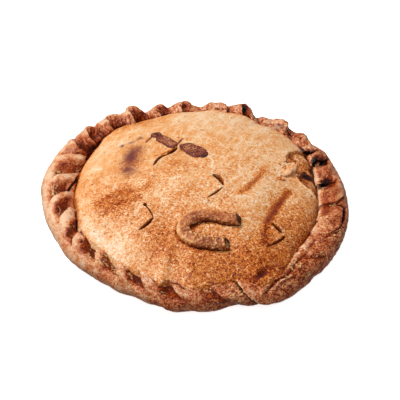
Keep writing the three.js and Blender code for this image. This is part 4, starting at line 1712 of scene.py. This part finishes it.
        return np.stack([radius * np.cos(theta), radius * np.sin(theta), z], axis=-1)

    def blister_field(self, chart: Chart, points: Array) -> Array:
        """Pale blisters: strewn domes, kept where a coarse noise, hollows and clusters gather them.

        Args:
            chart: the laid-out grid.
            points: skin in the plan frame.

        Returns:
            Heights from 0 to 1.
        """
        gather = 0.4 + self.blister_patches.at(points) + 0.25 * chart.pocket
        gather += 0.14 * bell(chart.place, 25.0, 3.0)
        gather += sum(spot.depth * spot.over(chart.place, chart.phi) for spot in BLISTER_CLUSTERS)
        shown = ease(gather, 0.5, 0.9) * ease_degrees(chart.phi, -5.0, 30.0) * (1.0 - chart.face)
        return shown * np.maximum(blisters(points, 2.4, 0.6, 62), 0.8 * blisters(points, 1.6, 0.6, 67))

    def layers(self, chart: Chart) -> Array:
        """Thin layers of dough in the dark faces, from -1 to 1: a sine of the distance to the next lip."""
        wander = self.layer_wander.at(flat_points(chart.place * 3.0, chart.phi * 2.0))
        return chart.face * np.sin(TURN * (chart.ahead + wander) / self.layer_pitch)

    def relief(self, chart: Chart, points: Array) -> Array:
        """Fine relief along the normal: layers, wrinkles that follow the folds, rough hollows and blisters.

        Args:
            chart: the laid-out grid.
            points: the bare skin in the plan frame.

        Returns:
            Millimetres outwards.
        """
        along = flat_points(chart.place * 9.0, chart.phi * 3.0)
        fine = self.wrinkles.at(along) + self.layer_depth * self.layers(chart)
        ragged = bell(chart.place, 3.4, 1.6) + bell(chart.place, 7.8, 0.5)
        rough = (0.6 + 0.35 * chart.hollow + 2.0 * ragged) * self.rough.at(points)
        rough = rough + ragged * self.knobs.at(points)
        return fine + rough + self.blister_depth * self.blister_field(chart, points)

    def shape(self) -> tuple[Chart, Array]:
        """Visible skin with its relief, moved along the normals of the bare grid.

        Returns:
            The chart, and points as rows by columns.
        """
        chart = self.chart()
        bare = self.section(chart)
        across = np.roll(bare, -1, axis=1) - np.roll(bare, 1, axis=1)
        normal = np.cross(across, np.gradient(bare, axis=0))
        normal /= np.maximum(np.linalg.norm(normal, axis=-1, keepdims=True), 1e-9)
        fade = ease(chart.phi, self.form.ground_angle, self.form.ground_angle + self.plain_foot)
        points = bare + normal * (self.relief(chart, bare) * fade)[..., None]
        points[..., 2] = np.maximum(points[..., 2], 0.0)
        return chart, points

    def closing(self, skin: Array) -> Array:
        """Hidden rows that lead from the skin's last row through the pie back to the ground.

        Args:
            skin: visible points as rows by columns.

        Returns:
            Rows by columns of points.
        """
        theta = np.arctan2(skin[0, :, 1], skin[0, :, 0])
        radial = np.stack([np.cos(theta), np.sin(theta)], axis=-1)
        foot = np.hypot(skin[0, :, 0], skin[0, :, 1])[:, None]
        level = np.full(len(theta), self.hidden_level)
        inner = np.column_stack([radial * (self.form.outline(theta)[:, None] - self.hidden_inset), level])
        outer = np.column_stack([radial * (foot - self.foot_inset), level])
        half = self.hidden_rows // 2
        step = np.arange(1, half + 1)[:, None, None] / half
        return np.concatenate([skin[-1] + step * (inner - skin[-1]), inner + step * (outer - inner)])

    def masks(self, chart: Chart, points: Array) -> dict[Mask, Array]:
        """Marks of baking over the border, from the crimps and the marks on it, with painted shade in
        hollows, pockets, faces and the crease, and painted light on the left flank and the beads.

        Args:
            chart: the laid-out grid.
            points: skin in the plan frame.

        Returns:
            Values for each mask, as rows by columns.
        """
        place, phi = chart.place, chart.phi
        theta = np.arctan2(points[..., 1], points[..., 0])
        from_lid = np.degrees(phi - self.form.crease_angle(theta))
        inside = ease_degrees(phi, 92.0, 108.0)
        toast_and_shade = self.bake + sum(cloud.at(points) for cloud in self.clouds)
        # Hollows, dark faces and pockets are darker partly from deeper toast and partly as painted shade
        # where the crimps overhang.
        toast_and_shade += self.hollow_bake_and_shade * chart.hollow + self.ridge_bake * chart.ridge
        toast_and_shade += self.layer_bake * self.layers(chart)
        toast_and_shade += chart.face * (self.face_bake_and_shade + self.inner_bake_and_shade * inside + self.pale_faces.over(place, phi))
        deep = self.pocket_bake_and_shade + sum(zone.over(place, phi) for zone in self.pocket_zones)
        toast_and_shade += deep * chart.pocket * (1.0 + self.pocket_patches.at(points))
        # The outer left flank is lighter, partly paler crust and partly painted sheen where the lamp falls.
        toast_and_shade += self.pale_side.over(place, phi) * (1.0 - chart.face) * (1.0 - chart.pocket)
        places, extra = np.array(BORDER_BAKE).T
        toast_and_shade += np.interp(place, places, extra, period=FOLDS)
        toast_and_shade += sum(zone.over(place, phi) for zone in BAKE_AND_LIGHT_ZONES)
        toast_and_shade += self.brown_front.depth * self.brown_front.over(place, phi)
        toast_and_shade += self.ragged_side.over(place, phi) * (0.02 + self.ragged_patches.at(points))
        # Painted shade on the border in the crease where it meets the lid, round the back.
        toast_and_shade += self.crease_shade.over(place, phi) * ease(from_lid, -12.0, -3.0)
        # Char of the marks; on the two seams along the lid's edge it is painted shade in the gap.
        burnt = sum(mark.char * mark.over(place, phi) for mark in BORDER_MARKS if mark.char > 0.0)
        burnt = burnt * (0.8 + self.burnt_patches.at(points))
        light = sum(mark.pale * mark.over(place, phi) for mark in BORDER_MARKS if mark.pale > 0.0)
        glazed = self.glaze.over(place, phi) * ease(self.glaze_patches.at(points), -0.02, 0.2)
        return {
            Mask.TOAST_AND_SHADE: toast_and_shade + 0.35 * ease(burnt, 0.05, 0.35) - 0.55 * light,
            Mask.PALE: ease(self.blister_field(chart, points), 0.2, 0.7) * 0.85,
            Mask.STAIN: 0.7 * ease(burnt, 0.1, 0.4) + glazed,
            Mask.SMOOTH: sum(zone.over(place, phi) for zone in SMOOTH_ZONES),
            Mask.CHAR_AND_SHADE: ease(burnt, 0.35, 0.75),
        }

    def build(self) -> None:
        """Make and dress the border."""
        chart, skin = self.shape()
        points = np.concatenate([skin, self.closing(skin)])
        rows, columns, _ = points.shape
        quads = grid_quads(rows + 1, columns, True) % (rows * columns)
        piece = self.mesh_object("rope_border", points.reshape(-1, 3), quads.tolist())
        hidden = np.zeros((rows - self.skin_rows, columns))
        shown = self.masks(chart, skin)
        self.paint(piece, {mask: np.concatenate([value, hidden]).ravel() for mask, value in shown.items()})
        self.dress(piece, BORDER_FINISH, Slot.BORDER, "crust")


@dataclass
class DoughStrip(Piece):
    """Flattened roll of dough bent like a horseshoe, pressed onto the lid, with blunt ends."""

    skin: LidSkin
    width: float = 11.0
    thickness: float = 5.5
    stations: int = 220
    sides: int = 56
    sink: float = 0.7
    end_lift: float = 1.3
    end_slant: float = 4.0
    slant_reach: float = 9.0
    outer_side: float = -1.0
    fine_steps: int = 900
    blunt_reach: float = 3.6
    lift_reach: float = 7.0
    side_power: float = 0.55
    top_power: float = 0.6
    foot_power: float = 0.4
    bumps: Noise = Noise(0.35, 3.5, 3, 81)
    blister_height: float = 0.75
    bake: float = 0.48
    clouds: Noise = Noise(0.12, 9.0, 3, 83)
    cap_bake_and_shade: float = 0.42
    cap_burn_and_shade: float = 0.105

    def centre_line(self) -> Array:
        """Evenly spaced points on a centripetal spline through the route.

        Knots grow by the square root of each gap; every stretch blends three levels of lines.

        Returns:
            Plan points, one row for each station.
        """
        ends = np.array(STRIP_ROUTE)
        padded = np.vstack([2.0 * ends[0] - ends[1], ends, 2.0 * ends[-1] - ends[-2]])
        knots = np.concatenate([[0.0], np.cumsum(np.sqrt(np.linalg.norm(np.diff(padded, axis=0), axis=1)))])
        fine = np.linspace(knots[1], knots[-2], self.fine_steps)
        span = np.clip(np.searchsorted(knots, fine, side="right") - 1, 1, len(ends) - 1)
        t = [knots[span + shift] for shift in (-1, 0, 1, 2)]
        p = [padded[span + shift] for shift in (-1, 0, 1, 2)]

        def line(a: Array, b: Array, start: Array, end: Array) -> Array:
            """Point on the line from a at start to b at end."""
            share = ((fine - start) / (end - start))[:, None]
            return a + share * (b - a)

        first = [line(p[i], p[i + 1], t[i], t[i + 1]) for i in range(3)]
        second = [line(first[i], first[i + 1], t[i], t[i + 2]) for i in range(2)]
        curve = line(second[0], second[1], t[1], t[2])
        run = np.concatenate([[0.0], np.cumsum(np.linalg.norm(np.diff(curve, axis=0), axis=1))])
        even = np.linspace(0.0, run[-1], self.stations)
        return np.column_stack([np.interp(even, run, curve[:, axis]) for axis in range(2)])

    def surface(self) -> Body:
        """Roll swept along the route: an upper half of a rounded box over a foot sunk in the lid.

        Returns:
            Points in the plan frame, and the faces.
        """
        line = self.centre_line()
        across = sideways(line)
        turn = np.arange(self.sides) / self.sides * TURN
        side = np.sign(np.cos(turn)) * np.abs(np.cos(turn)) ** self.side_power
        steep = np.abs(np.sin(turn))
        lift = np.where(np.sin(turn) > 0.0, steep ** self.top_power, -steep ** self.foot_power)
        run = np.linspace(0.0, 1.0, self.stations)
        to_end = np.minimum(run, 1.0 - run) * np.linalg.norm(np.diff(line, axis=0), axis=1).sum()
        blunt = np.sqrt(1.0 - (1.0 - np.clip(to_end / self.blunt_reach, 0.0, 1.0)) ** 2)
        swell = 1.0 + 0.06 * np.sin(run * 19.0) + 0.05 * np.sin(run * 43.0 + 1.0)
        half = self.width / 2.0 * (0.6 + 0.4 * blunt) * swell
        plan = line[:, None, :] + across[:, None, :] * (half[:, None] * side)[..., None]
        back = np.clip(1.0 - to_end / self.slant_reach, 0.0, 1.0) * np.where(run < 0.5, 1.0, -1.0)
        forward = np.stack([across[:, 1], -across[:, 0]], axis=-1)
        pushed = back[:, None] * self.end_slant * np.maximum(lift, 0.0)
        plan = plan + forward[:, None, :] * pushed[..., None]
        seat = self.skin.height(plan[..., 0], plan[..., 1])
        raised = self.end_lift * bell(to_end, 0.0, self.lift_reach)[:, None]
        height = np.where(lift > 0.0, self.thickness * (0.8 + 0.2 * blunt)[:, None] * lift, self.sink * lift)
        points = np.concatenate([plan, (seat + height + raised)[..., None]], axis=-1)
        bumps = self.bumps.at(points) + self.blister_height * self.blister_field(points)
        upward = np.broadcast_to(np.maximum(lift, 0.0), seat.shape)
        outward = np.stack([across[:, None, 0] * side, across[:, None, 1] * side, upward], axis=-1)
        points = points + outward * (bumps * (lift > 0.0))[..., None]
        faces = grid_quads(self.stations, self.sides, True).tolist()
        last = (self.stations - 1) * self.sides
        faces.append(list(range(self.sides))[::-1])
        faces.append([last + i for i in range(self.sides)])
        return points.reshape(-1, 3), faces

    def blister_field(self, points: Array) -> Array:
        """Pale beads over the strip: strewn domes of two sizes."""
        return np.maximum(blisters(points, 2.5, 0.75, 82), 0.8 * blisters(points, 1.6, 0.75, 87))

    def build(self) -> None:
        """Make and dress the strip."""
        points, faces = self.surface()
        piece = self.mesh_object("laid_strip", points, faces)
        over = points[:, 2] - self.skin.height(points[:, 0], points[:, 1])
        side = np.cos(np.tile(np.arange(self.sides) / self.sides * TURN, self.stations))
        bend = bell(points[:, 0], -12.0, 13.0)
        # The foot is darkened as painted shadow where the strip meets the lid.
        toast_and_shade = self.bake + self.clouds.at(points) + 0.34 * (1.0 - ease(over, 0.3, 2.4))
        # Painted light: the outer flank of the bend is lighter where it faces the lamp.
        toast_and_shade -= 0.46 * bend * ease(side * self.outer_side, 0.1, 0.7) * ease(over, 0.6, 2.0)
        # Painted shade on the flanks that face the front, below the top.
        front = ease(np.repeat(self.centre_line()[:, 1], self.sides) - points[:, 1], 1.0, 4.6)
        toast_and_shade += 0.26 * front * (1.0 - ease(over, 2.0, 5.0))
        beaded = ease(over, 1.2, 3.2) * (0.5 + 0.4 * ease(-points[:, 1], 70.0, 84.0))
        # The cut ends are darkened as burnt dough and as painted shade under their overhang.
        capped = np.zeros((self.stations, self.sides))
        capped[[0, -1]] = 1.0
        self.paint(piece, {
            Mask.TOAST_AND_SHADE: toast_and_shade + self.cap_bake_and_shade * capped.ravel(),
            Mask.PALE: ease(self.blister_field(points), 0.3, 0.75) * beaded,
            Mask.CHAR_AND_SHADE: self.cap_burn_and_shade * capped.ravel(),
        })
        piece.data.set_sharp_from_angle(angle=SHARP_ANGLE)
        self.dress(piece, STRIP_FINISH, Slot.STRIP, "dough_strip")


@dataclass(frozen=True)
class Lump:
    """One flat lump on the lid: centre, half length and width, bearing, thickness, lift off the lid."""

    x: float
    y: float
    length: float
    width: float
    bearing: float
    thickness: float
    lift: float = 0.0

    def plan(self, along: Array, across: Array) -> tuple[Array, Array]:
        """Plan coordinates of points laid out along and across the lump's bearing.

        Args:
            along: millimetres along the bearing.
            across: millimetres to its left.

        Returns:
            The two coordinates.
        """
        turn = np.radians(self.bearing)
        x = self.x + along * np.cos(turn) - across * np.sin(turn)
        return x, self.y + along * np.sin(turn) + across * np.cos(turn)


@dataclass
class LidLumps(Piece):
    """Flat lumps that lie on the lid: uneven ovals, domed above and sunk a little below."""

    skin: LidSkin
    rings: int = 26
    columns: int = 96
    sink: float = 0.5
    fullness: float = 0.82
    steepness: float = 1.0
    bulge: float = 0.5
    follow: float = 1.0
    edge_scale: float = 1.6
    edge_step: float = 7.0
    edge_wave: Noise = Noise(0.2, 1.0, 3, 91)
    crags: Noise = Noise(0.3, 3.0, 3, 92)
    crag_step: float = 0.0

    def surface(self, lumps: tuple[Lump, ...]) -> Body:
        """All lumps as closed bodies: balls whose plan and dome are powers of sines and cosines.

        Args:
            lumps: the lumps in order.

        Returns:
            Points in the plan frame, and the faces.
        """
        polar, turn, faces = lump_shape(self.rings, self.columns)
        up, right, back = np.cos(polar), np.cos(turn), np.sin(turn)
        points, joined = [], []
        for number, lump in enumerate(lumps):
            ring = flat_points(right * self.edge_scale, back * self.edge_scale, number * self.edge_step)
            out = np.sin(polar) ** self.steepness * (1.0 + self.edge_wave.at(ring))
            along = lump.length * out * np.sign(right) * np.abs(right) ** self.fullness
            across = lump.width * out * np.sign(back) * np.abs(back) ** self.fullness
            x, y = lump.plan(along, across)
            above = lump.thickness * (1.0 + self.crags.at(flat_points(x, y, number * self.crag_step)))
            lift = np.where(up > 0.0, above, -self.sink) * np.abs(up) ** self.bulge
            seat = self.skin.height(lump.x + self.follow * (x - lump.x), lump.y + self.follow * (y - lump.y))
            points.append(np.column_stack([x, y, seat + lift + lump.lift]))
            joined += [[corner + number * len(polar) for corner in face] for face in faces]
        return np.concatenate(points), joined


@dataclass
class JuiceSpills(LidLumps):
    """Dark juice that boiled out of the rear slit and dried on the lid."""

    edge_patches: Noise = Noise(0.8, 5.0, 2, 93)
    spills: tuple[Lump, ...] = (
        Lump(-27.5, 48, 13.5, 6.4, -47, 1.3),
        Lump(-38.6, 61.6, 5.2, 4.8, 20, 1.2),
        Lump(-2.3, 32.4, 15.2, 8.6, -37, 1.4),
        Lump(-45, 54.5, 6.5, 1.3, 62, 0.5),
        Lump(-15.2, 48.6, 6.2, 1.3, 64, 0.5),
    )
    burnt: tuple[Blot, ...] = (
        Blot(-38.6, 62, 5, 4.5, 0, 0.7),
        Blot(5.6, 25.2, 7.5, 6, -30, 0.75),
        Blot(-45, 54.5, 7, 3, 62, -0.8),
        Blot(-15.2, 48.6, 7, 3, 64, -0.8),
    )

    def build(self) -> None:
        """Make and dress the spills."""
        points, faces = self.surface(self.spills)
        piece = self.mesh_object("juice_spills", points, faces)
        polar, _, _ = lump_shape(self.rings, self.columns)
        edge = np.tile(ease(np.sin(polar), 0.6, 1.0), len(self.spills)) * (0.7 + self.edge_patches.at(points))
        burnt = sum(blot.over(points[:, 0], points[:, 1]) for blot in self.burnt)
        self.paint(piece, {Mask.TOAST_AND_SHADE: edge + burnt})
        self.dress(piece, JuiceFinish(), Slot.JUICE)


@dataclass
class LooseFlakes(LidLumps):
    """Scraps of crust that broke off at the torn edge, and crumbs round them."""

    rings: int = 18
    columns: int = 40
    sink: float = 1.4
    fullness: float = 1.0
    steepness: float = 0.5
    bulge: float = 0.45
    follow: float = 0.0
    edge_scale: float = 1.4
    edge_step: float = 5.0
    edge_wave: Noise = Noise(0.38, 0.7, 3, 93)
    crags: Noise = Noise(0.6, 2.4, 3, 94)
    crag_step: float = 1.0
    crumbs: int = 26
    crumb_seed: int = 5
    crumb_centre: Pair = (90.5, 17.0)
    crumb_spread: float = 6.5
    crumb_sizes: Pair = (0.6, 1.5)
    bake: float = 0.42
    clouds: Noise = Noise(0.3, 3.5, 3, 95)
    pale_patches: Noise = Noise(1.0, 3.0, 2, 96)
    flakes: tuple[Lump, ...] = (
        Lump(86.6, 12, 9.4, 5, 66, 2.3, 0.5),
        Lump(80.6, 4.6, 4.6, 3.2, 40, 1.6, 0.3),
        Lump(90.5, 16.8, 4, 2.6, 20, 1.8, 1.1),
        Lump(76.5, -3, 4.2, 1.9, -20, 1, 0.2),
        Lump(82.2, 27, 3.6, 1.8, 70, 1, 0.2),
    )

    def strewn(self) -> tuple[Lump, ...]:
        """Crumbs strewn round the torn place, with sizes and places drawn from a fixed seed.

        Returns:
            The crumbs.
        """
        draw = np.random.default_rng(self.crumb_seed)
        spots = draw.normal(self.crumb_centre, self.crumb_spread, (self.crumbs, 2))
        sizes = draw.uniform(*self.crumb_sizes, (self.crumbs, 2))
        turns = draw.uniform(0.0, 180.0, self.crumbs)
        rows = np.column_stack([spots, sizes, turns, 0.8 * sizes.min(axis=1)])
        return tuple(Lump(*row) for row in rows.tolist())

    def build(self) -> None:
        """Make and dress the scraps."""
        points, faces = self.surface((*self.flakes, *self.strewn()))
        piece = self.mesh_object("loose_flakes", points, faces)
        over = points[:, 2] - self.skin.height(points[:, 0], points[:, 1])
        self.paint(piece, {
            Mask.TOAST_AND_SHADE: self.bake + self.clouds.at(points) + 0.4 * (1.0 - ease(over, 0.2, 2.0)),
            Mask.PALE: 0.3 * ease(self.pale_patches.at(points), 0.0, 0.4),
        })
        self.dress(piece, FLAKE_FINISH, Slot.LID)


@dataclass
class Studio:
    """Pale floor, soft light and the camera."""

    floor_size: float = 9.0
    floor_drop: float = 0.0002
    floor_glow: float = 0.8
    floor_roughness: float = 0.9
    sky: float = 0.32
    key_place: Triple = (-1.2, 0.42, 1.7)
    key_size: float = 0.5
    key_power: float = 40.0
    fill_place: Triple = (0.2, -1.2, 2.0)
    fill_size: float = 1.6
    fill_power: float = 7.0
    elevation: float = 40.0
    distance: float = 0.8635
    lens: float = 85.0
    target: Triple = (0.00545, -0.0081, 0.012)

    def floor(self) -> None:
        """Wide flat floor just under the pie, as one square of a matt near-white."""
        half = self.floor_size / 2.0
        square = ((-half, -half), (half, -half), (half, half), (-half, half))
        corners = [(x, y, -self.floor_drop) for x, y in square]
        mesh = bpy.data.meshes.new("floor")
        mesh.from_pydata(corners, [], [(0, 1, 2, 3)])
        made = bpy.data.objects.new("floor", mesh)
        bpy.context.collection.objects.link(made)
        graph = ShaderGraph("floor")
        graph.coat("Base Color", tone("f4f4f4"))
        graph.coat("Roughness", self.floor_roughness)
        graph.coat("Emission Color", tone("ffffff"))
        graph.coat("Emission Strength", self.floor_glow)
        mesh.materials.append(graph.material)
        made.visible_diffuse = False
        made.visible_glossy = False

    def lamp(self, name: str, place: Triple, size: float, power: float) -> None:
        """Square area lamp that faces the pie.

        Args:
            name: name of the lamp.
            place: position in metres.
            size: side of the lamp.
            power: watts.
        """
        light = bpy.data.lights.new(name, "AREA")
        light.size = size
        light.energy = power
        made = bpy.data.objects.new(name, light)
        made.location = place
        made.rotation_euler = (Vector(self.target) - Vector(place)).to_track_quat("-Z", "Y").to_euler()
        bpy.context.collection.objects.link(made)

    def camera(self) -> None:
        """Camera that looks along +Y from above the front."""
        lift = np.radians(self.elevation)
        view = bpy.data.cameras.new("camera")
        view.lens = self.lens
        made = bpy.data.objects.new("camera", view)
        back = Vector((0.0, -np.cos(lift), np.sin(lift)))
        made.location = Vector(self.target) + back * self.distance
        made.rotation_euler = (-back).to_track_quat("-Z", "Y").to_euler()
        bpy.context.collection.objects.link(made)
        bpy.context.scene.camera = made

    def build(self) -> None:
        """Set up floor, light and camera."""
        self.floor()
        self.lamp("key", self.key_place, self.key_size, self.key_power)
        self.lamp("fill", self.fill_place, self.fill_size, self.fill_power)
        world = bpy.data.worlds.new("studio")
        world.use_nodes = True
        back = world.node_tree.nodes["Background"]
        back.inputs["Color"].default_value = (1.0, 1.0, 1.0, 1.0)
        back.inputs["Strength"].default_value = self.sky
        bpy.context.scene.world = world
        bpy.context.scene.view_settings.view_transform = "Standard"
        self.camera()


def main() -> None:
    """Build the pie's pieces in order, then the studio."""
    logging.basicConfig(level=logging.INFO, format="%(name)s %(message)s")
    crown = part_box("crust")[1].z / MM
    form = PieForm(crown=crown)
    skin = LidSkin(form)
    Lid(form, skin).build()
    RopeBorder(form).build()
    DoughStrip(form, skin).build()
    JuiceSpills(form, skin).build()
    LooseFlakes(form, skin).build()
    Studio().build()


if __name__ == "__main__":
    main()
